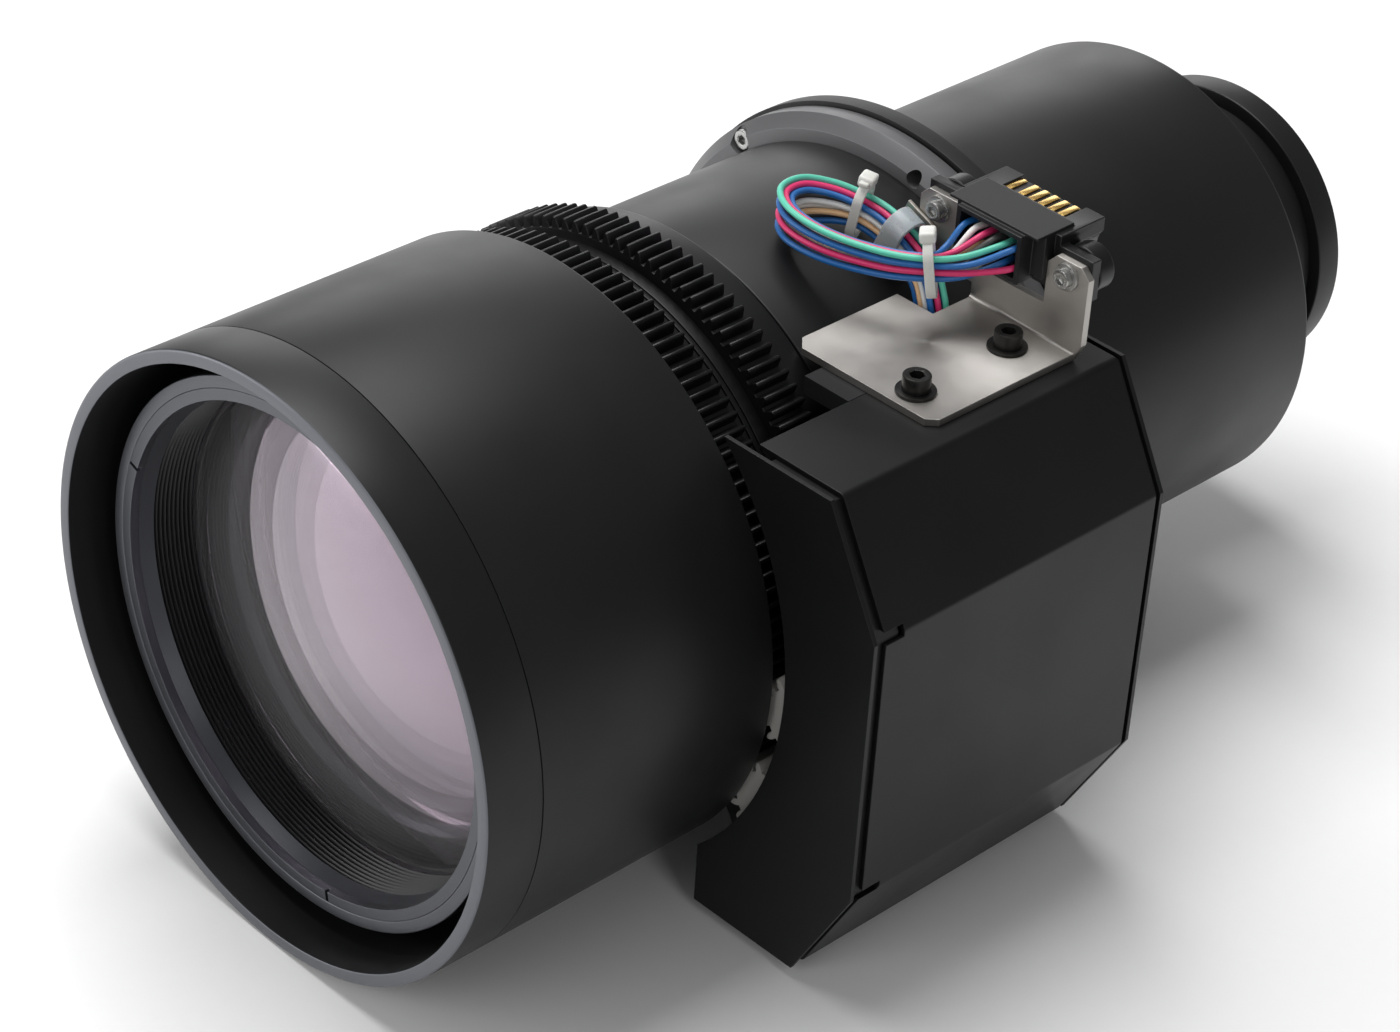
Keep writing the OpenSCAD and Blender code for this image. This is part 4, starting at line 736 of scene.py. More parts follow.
class LENS_OT_glass(bpy.types.Operator):
    """Make the lens elements"""
    bl_idname = "lens.glass"
    bl_label = "Glass"

    def execute(self, context):
        # Node, body, glass, then as in lens_piece: station, radius, edge, bulges and curves
        rows = [
            ("front_element", "focus_group", "front", FRONT_GLASS_Y, FRONT_GLASS_R, 9, 1, -1, 190, 150),
            ("second_element", "focus_group", "second", -166, 57.98, 8, 1, -1, 120, 190),
            ("variator_lens", "variator", "inner", -92.5, 45.95, 7, -1, -1, 360, 360),
            ("compensator_lens", "compensator", "inner", -33.5, 46.95, 7, 1, 1, 180, 180),
            ("relay_element", "fixed", "inner", 34, 42, 10, 1, 1, 110, 220),
            ("rear_element", "fixed", "second", 121.7, 35.5, 7, 1, 1, 170, 170),
        ]
        for node, body, glass, *shape in rows:
            settle(lens_piece(GLASS_NAMES[node], *shape), body, f"{glass}_glass", node)
        return {'FINISHED'}


# Gear rings and pinions

def involute(base, r):
    """The angle that an involute turns through between its base circle and radius r"""
    return 0 if r <= base else math.sqrt((r / base) ** 2 - 1) - math.acos(base / r)


def tooth_piece(teeth, y0, y1, crown, root_gap=0.35, backlash=0.16, flank_steps=3):
    """One gear tooth that points along +X, with its ends and tips rounded"""
    pitch = GEAR_MODULE * teeth / 2
    base = pitch * math.cos(math.radians(PRESSURE_ANGLE))
    low, high = pitch - 1.25 * GEAR_MODULE, pitch + GEAR_MODULE
    start = max(low, base)

    def half(r):
        return math.pi / 2 / teeth - backlash / 4 / pitch + involute(base, pitch) - involute(base, r)

    radii = [start + (high - start) * i / flank_steps for i in range(flank_steps + 1)]
    points = [(low - root_gap, half(start) * 1.06), (low, half(start) * 1.04)] + [(r, half(r)) for r in radii]
    tip_r, tip_half = points[-1]
    points[-1:] = [(tip_r - crown / MM * 0.5, tip_half), (tip_r, tip_half - crown / MM * 0.5 / tip_r)]
    outline = [(r * math.cos(a), r * math.sin(a)) for r, a in points]
    outline += [(x, -z) for x, z in reversed(outline)]
    centre = sum((Vector(p) for p in outline), Vector((0, 0))) / len(outline)
    bm = bmesh.new()
    rings = []
    for y, shrink in ((y0, crown / MM), (y0 + crown / MM, 0), (y1 - crown / MM, 0), (y1, crown / MM)):
        ring = []
        for p in outline:
            away = Vector(p) - centre
            at = Vector(p) - away.normalized() * min(shrink * 0.7, away.length * 0.4)
            ring.append(bm.verts.new((at.x * MM, y * MM, at.y * MM)))
        rings.append(ring)
    skin(bm, rings, capped=True)
    return new_piece("tooth", bm, smooth=40)


class LENS_OT_gear_rings(bpy.types.Operator):
    """Make the toothed focus and zoom rings"""
    bl_idname = "lens.gear_rings"
    bl_label = "Gear rings"

    def execute(self, context):
        crown = context.scene.lens_sizes.tooth_crown
        root, hub, bore = RING_ROOT_R, RING_HUB_R, NECK_R + RUNNING
        sleeve_r, sleeve_y, collar_r, collar_end, tail_r, tail_end = 70, -148, 73.5, -82.4, 68, BARREL_Y - 0.3
        focus_y, focus_end, focus_face = FOCUS_TEETH_Y, FOCUS_TEETH_Y + TOOTH_LEN, FOCUS_TEETH_Y - 1
        zoom_y, zoom_end = ZOOM_TEETH_Y, ZOOM_TEETH_Y + TOOTH_LEN
        focus_stop, zoom_front = SPACER_Y - 0.3, SPACER_Y + SPACER_T + 0.3
        shapes = {
            "focus_ring_teeth": ("focus_ring", "focus_gear_ring", focus_y, [
                (bore, sleeve_y, 0.3), (sleeve_r, sleeve_y, 0.5), (sleeve_r, focus_face),
                (hub, focus_face, 0.3), (hub, focus_y), (root, focus_y, 0.3), (root, focus_end, 0.3),
                (hub, focus_end), (hub, focus_stop, 0.3), (bore, focus_stop, 0.3)]),
            "zoom_ring_teeth": ("zoom_ring", "zoom_gear_ring", zoom_y, [
                (bore, zoom_front, 0.3), (hub, zoom_front, 0.3), (hub, zoom_y), (root, zoom_y, 0.3),
                (root, zoom_end), (collar_r, zoom_end), (collar_r, collar_end, 0.5), (tail_r, collar_end),
                (tail_r, tail_end), (bore, tail_end)]),
        }
        for name, (body, node, y, outline) in shapes.items():
            base = turned_piece(name, outline)
            tooth = tooth_piece(RING_TEETH, y, y + TOOTH_LEN, crown)
            repeat_round(name, base, tooth, RING_TEETH, 0.0, (0, 0, 0), "ring_plastic")
            settle(base, body, None, node)
        return {'FINISHED'}


class LENS_OT_pinions(bpy.types.Operator):
    """Make the four pinions and their shafts"""
    bl_idname = "lens.pinions"
    bl_label = "Pinions"

    def execute(self, context):
        crown = context.scene.lens_sizes.tooth_crown
        rows = [("focus_drive_pinion", "focus_pinion", -2, FOCUS_TEETH_Y),
                ("focus_sensor_pinion", "focus_sensor_gear", -9, FOCUS_TEETH_Y),
                ("zoom_drive_pinion", "zoom_pinion", 4, ZOOM_TEETH_Y),
                ("zoom_sensor_pinion", "zoom_sensor_gear", 11, ZOOM_TEETH_Y)]
        for name, node, step, y in rows:
            angle = step * 2 * math.pi / RING_TEETH
            centre = (AXLE_R * math.cos(angle), 0, AXLE_R * math.sin(angle))
            low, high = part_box(node)
            front, rear = low.y / MM, high.y / MM
            y0, y1 = y + 0.4, y + TOOTH_LEN - 0.4
            bm = bmesh.new()
            outline = [(0, front), (1.7, front), (2, front + 0.3)]
            outline += [(2, y0)] if front < y0 - 1 else []
            outline += [(9.1, y0), (9.3, y0 + 0.2), (9.3, y1 - 0.2), (9.1, y1), (3.4, y1), (3.4, y1 + 0.8),
                        (2, y1 + 0.8), (2, rear - 0.3), (1.7, rear), (0, rear)]
            add_turned(bm, outline, Matrix.Translation(Vector(centre) * MM), steps=72, closed=False)
            base = new_piece(name, bm)
            tooth = tooth_piece(PINION_TEETH, y0, y1, crown * 0.6)
            start = angle + math.pi + math.pi / PINION_TEETH
            repeat_round(name, base, tooth, PINION_TEETH, start, centre, "pinion_plastic")
            settle(base, node, None, node)
        return {'FINISHED'}


# Cutting

def axis_place(angle, r, y):
    """The place at an angle in degrees from +X towards +Z, a radius and a station, in millimetres"""
    a = math.radians(angle)
    return Vector((r * math.cos(a), y, r * math.sin(a)))


def cut_with(obj, cutter):
    """Cuts one piece out of another and removes the cutter"""
    cut = obj.modifiers.new("Cut", 'BOOLEAN')
    cut.operation = 'DIFFERENCE'
    cut.object = cutter
    cut.solver = 'EXACT'
    bake(obj)
    bpy.data.objects.remove(cutter)


def bore_holes(obj, holes, steps=48):
    """Bores holes along Y: rows of (place at the low end, radius, length) in millimetres"""
    bm = bmesh.new()
    for place, r, length in holes:
        outline = [(0, 0), (r, 0), (r, length), (0, length)]
        add_turned(bm, outline, Matrix.Translation(place * MM), steps, closed=False)
    cut_with(obj, new_piece("cutter", bm))


def add_slot(bm, angle, y0, y1, half, from_r, to_r, steps=12):
    """Adds a round-ended radial bar, for cutting a slot along the axis"""
    outline = [(y1 + half * math.cos(a), half * math.sin(a))
               for a in (math.pi * (k / steps - 0.5) for k in range(steps + 1))]
    outline += [(y0 - half * math.cos(a), -half * math.sin(a))
                for a in (math.pi * (k / steps - 0.5) for k in range(steps + 1))]
    turn = Matrix.Rotation(-math.radians(angle), 3, 'Y')
    add_prism(bm, outline, lambda y, z, side: turn @ Vector((to_r if side else from_r, y, z)))


def add_arc_slot(bm, start, end, y, width, from_r, to_r, steps=24):
    """Adds a curved bar, for cutting a slot round the axis"""
    past = math.degrees(math.asin(width / 2 / from_r))
    angles = [start - past + (end - start + 2 * past) * k / steps for k in range(steps + 1)]
    outline = [axis_place(a, from_r, 0).xz for a in angles]
    outline += [axis_place(a, to_r, 0).xz for a in reversed(angles)]
    add_prism(bm, outline, lambda x, z, side: (x, y + (side - 0.5) * width, z))


# Barrels and flange

FLANGE_HOLES = (78, 198, 318)
FLANGE_SCREWS = (10, 130, 250)
FLANGE_CIRCLE_R = 72.5
CHASSIS_SCREWS = (34, -38)


class LENS_OT_barrels(bpy.types.Operator):
    """Make the main barrel, the ring spacer, the rear tube and the rear cell"""
    bl_idname = "lens.barrels"
    bl_label = "Barrels"

    def execute(self, context):
        from_r, to_r = NECK_BORE_R - 2, NECK_R + 2
        focus_slot, focus_y0, focus_y1, focus_half = 60, -137, -128, 2.8
        zoom_start, zoom_end, zoom_y, zoom_w = -15, 75, -88, 4.6
        screw_y, screw_r = -69.2, 1.5
        barrel = turned_piece("barrel", [
            (NECK_BORE_R, NECK_Y, 0.3), (NECK_R, NECK_Y, 0.4), (NECK_R, BARREL_Y), (BARREL_R, BARREL_Y, 0.5),
            (BARREL_R, -SEAT_T, 0.3), (NECK_BORE_R, -SEAT_T, 0.3)])
        bm = bmesh.new()
        for turn in (0, 120, 240):
            add_slot(bm, focus_slot + turn, focus_y0, focus_y1, focus_half, from_r, to_r)
            add_arc_slot(bm, zoom_start + turn, zoom_end + turn, zoom_y, zoom_w, from_r, to_r)
        for angle in CHASSIS_SCREWS:
            add_slot(bm, angle, screw_y, screw_y, screw_r, from_r, BARREL_R + 1.5)
        cut_with(barrel, new_piece("cutter", bm, merge=0))
        settle(barrel, "fixed", "barrel_paint", "main_barrel")
        spacer_end = SPACER_Y + SPACER_T
        spacer = turned_piece("spacer", [
            (NECK_R + SNUG, SPACER_Y), (RING_HUB_R, SPACER_Y, 0.2), (RING_HUB_R, spacer_end, 0.2),
            (NECK_R + SNUG, spacer_end)])
        settle(spacer, "fixed", "ring_plastic", "ring_spacer")
        wall_y, wall_bore_r = TUBE_END_Y - 4, 39.51
        tube = turned_piece("tube", [
            (TUBE_BORE_R, -SEAT_T), (TUBE_R - TUBE_RELIEF, -SEAT_T), (TUBE_R - TUBE_RELIEF, 1),
            (TUBE_R, 1, 0.1), (TUBE_R, TUBE_END_Y, 1.2), (wall_bore_r, TUBE_END_Y, 0.3),
            (wall_bore_r, wall_y), (TUBE_BORE_R, wall_y)])
        settle(tube, "fixed", "barrel_paint", "rear_tube")
        clear_r, flange_r, waist_r, groove_r, head_r, glass_r = 32.5, 45.5, 39.5, 38.9, 42.7, 35.51
        head_y, end_y, glass_y, chamfer = 128.4, 138.7, 121.7, 2
        cell = turned_piece("rear_cell_body", [
            (clear_r, wall_y - 3), (flange_r, wall_y - 3, 0.3), (flange_r, wall_y), (waist_r, wall_y),
            (waist_r, head_y - 1.2), (groove_r, head_y - 0.8), (groove_r, head_y), (head_r, head_y, 0.5),
            (head_r, end_y - chamfer, 0.8), (head_r - chamfer, end_y, 0.8), (glass_r, end_y, 0.4),
            (glass_r, glass_y), (clear_r, glass_y)])
        settle(cell, "fixed", "barrel_paint", "rear_cell")
        ring = from_node("rear_retaining_ring", "rear_ring", 0.15 * MM)
        settle(ring, "fixed", "thread_black", "rear_retaining_ring")
        return {'FINISHED'}


class LENS_OT_flange(bpy.types.Operator):
    """Make the mounting flange and its screws"""
    bl_idname = "lens.flange"
    bl_label = "Flange"

    def execute(self, context):
        y0, y1 = -15.0, -SEAT_T
        outer_r, cone, step_r, step, edge, bevel = 76.5, 3.5, 74, 0.7, 0.12 * MM, 0.9
        hole_r, screw_r, pocket_r, pocket_depth, tap_depth = 2.25, 1.5, 3.6, 3.4, 4
        through, seat_through = 12, 8

        def holes(angles, y, r, length):
            return [(axis_place(a, FLANGE_CIRCLE_R, y - CUT_PAST), r, length) for a in angles]

        front = turned_piece("flange_front", [
            (BARREL_R + SNUG, y0), (outer_r - cone, y0, 0.15), (outer_r, y0 + cone, 0.15),
            (outer_r, y1 - step, 0.15), (step_r, y1 - step), (step_r, y1), (BARREL_R + SNUG, y1)])
        bore_holes(front, holes(FLANGE_HOLES, y0, hole_r, through))
        bore_holes(front, holes(FLANGE_SCREWS, y0, screw_r + SNUG, through))
        bore_holes(front, holes(FLANGE_SCREWS, y0, pocket_r, pocket_depth + CUT_PAST))
        soften(front, edge, 2, 40)
        settle(front, "fixed", "flange_metal", "flange_front_ring")
        bore_r = TUBE_R - TUBE_RELIEF + SNUG
        seat = turned_piece("flange_seat", [
            (bore_r, y1), (SEAT_R, y1, 0.15), (SEAT_R, -bevel, 0.1), (SEAT_R - bevel, 0, 0.1),
            (TUBE_R + TUBE_RELIEF, 0), (TUBE_R + TUBE_RELIEF, -TUBE_RELIEF), (bore_r, -TUBE_RELIEF)])
        bore_holes(seat, holes(FLANGE_HOLES, y1, hole_r, seat_through))
        bore_holes(seat, holes(FLANGE_SCREWS, y1, screw_r + SNUG, tap_depth + CUT_PAST))
        soften(seat, edge, 2, 40)
        settle(seat, "fixed", "seat_metal", "flange_seat_ring")
        screw = socket_screw("flange_screw", head_r=2.75, head_h=2.4, shank_r=screw_r, shank_len=9.4,
                             socket_r=1.25, ribs=36)
        place = Matrix.Translation((FLANGE_CIRCLE_R * MM, (y0 + pocket_depth) * MM, 0))
        screw.data.transform(place @ Matrix.Rotation(math.radians(90), 4, 'X'))
        base = bpy.data.objects.new("flange_screw_set", bpy.data.meshes.new("flange_screw_set"))
        context.scene.collection.objects.link(base)
        repeat_round("flange_screw_set", base, screw, len(FLANGE_SCREWS), math.radians(FLANGE_SCREWS[0]),
                     (0, 0, 0), "zinc_steel")
        settle(base, "fixed", None, "flange_screws")
        return {'FINISHED'}


def socket_screw(name, head_r, head_h, shank_r, shank_len, socket_r, washer_r=0.0, washer_t=0.8, ribs=48):
    """A cap screw that stands on the origin with its head up, on its washer, with a hexagon socket"""
    bm = bmesh.new()
    base = washer_t if washer_r else 0
    top = base + head_h
    depth = head_h * 0.55
    steps = 96
    profile = rounded([(shank_r, base), (head_r, base, 0.2), (head_r, top, 0.45),
                       (socket_r * 1.22, top, 0.1)])
    turns = [2 * math.pi * k / steps for k in range(steps)]
    rings = []
    for r, z in profile:
        ring = []
        for a in turns:
            on_knurl = ribs and r > head_r - 0.02 and base + 0.5 < z < top - 0.7
            knurl = KNURL_DEPTH * (0.5 + 0.5 * math.cos(ribs * a)) if on_knurl else 0
            at = r - knurl
            ring.append(bm.verts.new((at * MM * math.cos(a), at * MM * math.sin(a), z * MM)))
        rings.append(ring)
    for z in (top - 0.15, top - depth):
        ring = []
        for a in turns:
            flat = socket_r / math.cos((a + math.pi / 6) % (math.pi / 3) - math.pi / 6)
            ring.append(bm.verts.new((flat * MM * math.cos(a), flat * MM * math.sin(a), z * MM)))
        rings.append(ring)
    rings.append([bm.verts.new((0, 0, (top - depth - 0.25) * MM))] * steps)
    rings.insert(0, [bm.verts.new(Vector((shank_r * math.cos(a), shank_r * math.sin(a), -shank_len)) * MM)
                     for a in turns])
    rings.insert(0, [bm.verts.new((0, 0, -shank_len * MM))] * steps)
    skin(bm, rings)
    if washer_r:
        place = Matrix.Rotation(math.radians(90), 4, 'X')
        washer = rounded([(shank_r, 0), (washer_r, 0, 0.12), (washer_r, washer_t, 0.25), (shank_r, washer_t)])
        add_turned(bm, washer, place, steps=72)
    return new_piece(name, bm, smooth=32)


# Drive box

BOX_OUTLINE = [(66.5, 60), (93.5, 60), (110.5, 29.2), (110.5, -45.5), (93.3, -77), (59, -77)]
BOX_SHEET = 1.2
BOX_SCREWS = [(97, -22, 38), (100, -22, -45), (72, -22, -66)]


def offset_outline(points, inset):
    """Moves an open outline of the box inwards"""
    lines = []
    for a, b in zip(points, points[1:]):
        a, b = Vector(a), Vector(b)
        along = (b - a).normalized()
        inward = Vector((along.y, -along.x))
        lines.append((a + inward * inset, along))
    out = [lines[0][0]]
    for (p, d), (q, e) in zip(lines, lines[1:]):
        cross = d.x * e.y - d.y * e.x
        t = ((q.x - p.x) * e.y - (q.y - p.y) * e.x) / cross
        out.append(p + d * t)
    end = Vector(points[-1])
    p, d = lines[-1]
    out.append(p + d * (end - p).dot(d))
    return [tuple(v) for v in out]


def open_rounded(points, radius, steps=6):
    """An open outline with its inner corners rounded"""
    return rounded([(*p, radius if 0 < i < len(points) - 1 else 0) for i, p in enumerate(points)], steps)


def folded_sheet(name, outer, thickness, radius, y0, y1):
    """A strip of sheet metal folded along an open outline"""
    inner = offset_outline(outer, thickness)
    a = open_rounded(outer, radius)
    b = open_rounded(inner, max(radius - thickness, 0.4))
    bm = bmesh.new()
    loop = a + list(reversed(b))
    add_prism(bm, loop, lambda x, z, side: (x, y1 if side else y0, z))
    return new_piece(name, bm, smooth=25, merge=0)


def carve(obj, blocks):
    """Cuts blocks out of a piece"""
    for low, high in blocks:
        bm = bmesh.new()
        add_block(bm, low, high, soft=0)
        cut_with(obj, new_piece("cutter", bm))


class LENS_OT_drive_box(bpy.types.Operator):
    """Make the folded drive box, its covers and their screws"""
    bl_idname = "lens.drive_box"
    bl_label = "Drive box"

    def execute(self, context):
        sizes = context.scene.lens_sizes
        low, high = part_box("box_wrapper")
        y0, y1 = low.y / MM, high.y / MM
        side_x, relief_len, relief_half = BOX_OUTLINE[2][0], 6, 1.5
        shell = folded_sheet("box_shell", BOX_OUTLINE, BOX_SHEET, sizes.fold / MM, y0, y1)
        carve(shell, [((side_x - 2.5, y0 - CUT_PAST, z - relief_half),
                       (side_x + 1.5, y0 + relief_len, z + relief_half)) for _, z in BOX_OUTLINE[2:4]])
        soften(shell, sizes.sheet_edge, 2, 40)
        settle(shell, "fixed", "box_coat", "box_wrapper")
        for node, name in (("front_cover_plate", "front_cover"), ("rear_cover_plate", "rear_cover")):
            cover = from_node(node, name, sizes.sheet_edge)
            settle(cover, "fixed", "box_coat", node)
        screw = socket_screw("box_screw", head_r=2.8, head_h=1.8, shank_r=1.5, shank_len=6, socket_r=1.2,
                             ribs=0)
        screws = repeat_at("box_screw_set", screw, BOX_SCREWS, "black_oxide", turn=(math.radians(-90), 0, 0))
        settle(screws, "fixed", None, "box_screws")
        return {'FINISHED'}


# Bracket and connector

PLATE_TOP = 62
EAR_Y = -34
EAR_T = 2
EAR_CENTRE_X = 62
EAR_SCREW_Z = 81
EAR_PITCH = 41.6
CONTACTS = 6
CONTACT_PITCH = 3.2
CONTACT_LEN = 6.6
CONTACT_SHAPE = (1.9, 0.4)


class LENS_OT_bracket(bpy.types.Operator):
    """Make the folded stainless bracket and its cap screws"""
    bl_idname = "lens.bracket"
    bl_label = "Bracket"

    def execute(self, context):
        sizes = context.scene.lens_sizes
        bm = node_copy("connector_bracket")
        # The outer and inner edges of the fold below the upright part
        for (y, z), radius in (((EAR_Y + EAR_T, PLATE_TOP - EAR_T), 2.6), ((EAR_Y, PLATE_TOP), 1.0)):
            edges = [e for e in bm.edges if all(
                abs(v.co.y / MM - y) < 0.05 and abs(v.co.z / MM - z) < 0.05 for v in e.verts)]
            if edges:
                bmesh.ops.bevel(bm, geom=edges, offset=radius * MM, segments=6, profile=0.5, affect='EDGES')
        bracket = new_piece("bracket", bm, smooth=30, merge=0)
        soften(bracket, sizes.sheet_edge, 2, 35)
        settle(bracket, "fixed", "bracket_steel", "connector_bracket")
        screw = socket_screw("cap_screw", head_r=3.5, head_h=4, shank_r=2, shank_len=8, socket_r=1.7,
                             washer_r=5)
        places = [(75.5, y, PLATE_TOP) for y in (-76, -44.5)]
        screws = repeat_at("cap_screws", screw, places, "black_oxide")
        settle(screws, "fixed", None, "bracket_screws")
        return {'FINISHED'}


class LENS_OT_connector(bpy.types.Operator):
    """Make the connector with its contacts, float bushes and screws"""
    bl_idname = "lens.connector"
    bl_label = "Connector"

    def execute(self, context):
        housing = from_node("connector_housing", "connector_body", 0.3 * MM, 2)
        settle(housing, "fixed", "connector_plastic", "connector_housing")
        low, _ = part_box("connector_contacts")
        bm = bmesh.new()
        width, thickness = CONTACT_SHAPE
        add_block(bm, (-width / 2, 0, 0), (width / 2, CONTACT_LEN, thickness), soft=0.15)
        strip = new_piece("strip", bm)
        # The first contact stands a little apart
        first_x = EAR_CENTRE_X - (CONTACTS - 1) * CONTACT_PITCH / 2
        places = [(first_x + i * CONTACT_PITCH - (0 if i else CONTACT_PITCH * 0.3), low.y / MM, low.z / MM)
                  for i in range(CONTACTS)]
        contacts = repeat_at("contact_strips", strip, places, "gold_plate")
        settle(contacts, "fixed", None, "connector_contacts")
        bushes = from_node("float_bushes", "bushes", 0.4 * MM, 3)
        settle(bushes, "fixed", "connector_plastic", "float_bushes")
        screw = socket_screw("ear_screw", head_r=2.4, head_h=1.8, shank_r=1.45, shank_len=8, socket_r=1.2,
                             washer_r=3.5, washer_t=1.0, ribs=36)
        places = [(EAR_CENTRE_X + side * EAR_PITCH / 2, EAR_Y, EAR_SCREW_Z) for side in (-1, 1)]
        screws = repeat_at("ear_screw_set", screw, places, "zinc_steel", turn=(math.radians(90), 0, 0))
        settle(screws, "fixed", None, "ear_screws")
        return {'FINISHED'}


# Harness: the same route as the CAD source, in millimetres

ROUTE = [Vector(p) for p in (
    (62, -36, 82.4), (60, -46, 79.6), (55.5, -52, 77.6), (46, -58, 76.8), (32, -62.5, 76.4),
    (20, -62.5, 76.4), (12.5, -58, 76.4), (11.5, -51, 76.2), (16, -45, 75.6), (22, -41.5, 74.8),
    (28, -39.9, 73.4), (34, -39.9, 71.6), (40, -39.9, 68.6), (44.6, -40.4, 64.6), (46.9, -40.8, 60.6),
    (48.6, -41, 56.4), (52.4, -41.5, 52), (57.6, -42, 48.2), (63.4, -42, 44.6), (69, -42, 40),
    (73.6, -42, 35.4), (77.4, -42, 33), (80, -42, 33))]
FAN = [1, 1, 0.97, 1.1, 1.35, 1.55, 1.65, 1.6, 1.3] + [1] * 14
LEAD_PITCH = 1.85
LEAD_D = 1.6
FRAME_TOP, FRAME_H, FRAME_WALL = 88.9, 12.9, 1.3
ENTRY_PITCH, ENTRY_DROP, ENTRY_Y, ENTRY_DEPTH = 3.1, 5.2, -35.3, 4.7
LEADS = {"blue": (2, 3, 9, 11), "white": (5, 7), "pink": (1, 6), "gray": (4, 10), "teal": (0,), "peach": (8,)}


def route_frame(points, i):
    """Tangent, sideways and upright directions at a point of a route"""
    t = (points[min(i + 1, len(points) - 1)] - points[max(i - 1, 0)]).normalized()
    s = t.cross(Vector((0, 0, 1))).normalized()
    return t, s, s.cross(t)


def bundled(i, k):
    """Where lead i passes point k of the route: the fan spreads the levels and draws the rows together"""
    _, s, u = route_frame(ROUTE, k)
    row, col = i % 3 - 1, 1.5 - i // 3
    sideways = LEAD_PITCH * row * (1 - (FAN[k] - 1) * 0.3)
    return ROUTE[k] + s * sideways + u * LEAD_PITCH * (col - row / 3) * FAN[k]


def lead_points(i):
    """The points of lead i, from inside the connector to the end of the route"""
    level = i // 3
    column = 2 * (2 - i % 3) + (1 if level in (1, 2) else 0)
    entry_z = FRAME_TOP - FRAME_WALL - FRAME_H / 4 - (ENTRY_DROP if level > 1 else 0)
    inside = Vector((EAR_CENTRE_X + ENTRY_PITCH * (column - 2.5), ENTRY_Y, entry_z))
    mouth = inside - Vector((0, ENTRY_DEPTH, 0))
    start = bundled(i, 2)
    ahead = Vector(((mouth.x + start.x) / 2, (mouth.y + start.y) / 2, mouth.z * 0.15 + start.z * 0.85))
    return [inside, mouth, ahead] + [bundled(i, k) for k in range(2, len(ROUTE))]


def smooth_path(points, steps=6):
    """A curve through the points"""
    out = []
    for i in range(len(points) - 1):
        a, b, c, d = (points[max(i - 1, 0)], points[i], points[i + 1], points[min(i + 2, len(points) - 1)])
        for k in range(steps):
            t = k / steps
            out.append(0.5 * (2 * b + (c - a) * t + (2 * a - 5 * b + 4 * c - d) * t * t
                              + (3 * b - 3 * c + d - a) * t ** 3))
    return out + [points[-1]]


def add_tube(bm, path, radius, sides):
    """Sweeps a round section along a path, in millimetres"""
    rings, upright = [], None
    for i, p in enumerate(path):
        t, s, u = route_frame(path, i)
        if upright is not None:
            u = (upright - t * upright.dot(t)).normalized()
            s = t.cross(u)
        upright = u
        rings.append([bm.verts.new((p + radius * (math.cos(a) * s + math.sin(a) * u)) * MM)
                      for a in (2 * math.pi * k / sides for k in range(sides))])
    skin(bm, rings, capped=True)


class LENS_OT_harness(bpy.types.Operator):
    """Make the twelve leads that loop from the connector into the drive box"""
    bl_idname = "lens.harness"
    bl_label = "Harness"

    def execute(self, context):
        sizes = context.scene.lens_sizes
        nodes = {"teal": "lead_teal", "peach": "lead_peach"}
        for colour, numbers in LEADS.items():
            bm = bmesh.new()
            for i in numbers:
                add_tube(bm, smooth_path(lead_points(i)), sizes.lead / MM / 2, sizes.tube_sides)
            leads = new_piece(f"harness_{colour}", bm, smooth=60, merge=0)
            settle(leads, "fixed", f"wire_{colour}", nodes.get(colour, f"leads_{colour}"))
        return {'FINISHED'}


def across(k):
    """The matrix that turns a shape drawn across the bundle to face along the route at one of its points"""
    t, s, u = route_frame(ROUTE, k)
    turn = Matrix((s, u, -t)).transposed().to_4x4()
    return Matrix.Translation(ROUTE[k] * MM) @ turn


def stadium(w, h, steps=20):
    """Points of a round-ended outline"""
    r, shift = w / 2, (h - w) / 2
    out = []
    for side in (1, -1):
        for k in range(steps + 1):
            a = math.pi * k / steps + (0 if side > 0 else math.pi)
            out.append((r * math.cos(a), r * math.sin(a) + side * shift))
    return out


def add_band(bm, w, h, thickness, length, place, soft=0.25):
    """A band round the bundle with a soft-edged section"""
    section = rounded([(0, -length / 2, soft), (thickness, -length / 2, soft), (thickness, length / 2, soft),
                       (0, length / 2, soft)], 3)
    path = stadium(w, h)
    rings = []
    for i, (x, y) in enumerate(path):
        shift = (h - w) / 2 * (1 if i <= len(path) // 2 - 1 else -1)
        away = Vector((x, y - shift)).normalized()
        rings.append([bm.verts.new(place @ (Vector((x + away.x * out, y + away.y * out, z)) * MM))
                      for out, z in section])
    skin(bm, rings + rings[:1])


TIE_GAP = 0.85
BUNDLE_W = LEAD_PITCH * 2 + LEAD_D + 2 * TIE_GAP
BUNDLE_H = LEAD_PITCH * (3 + 2 / 3) + LEAD_D + 2 * TIE_GAP + BUNDLE_W / 2
TIE_PLACES = (2, 9)
CLIP_PLACE = 11
TIE_T, TIE_W, CLIP_T, CLIP_W = 1.1, 2.5, 1.3, 6


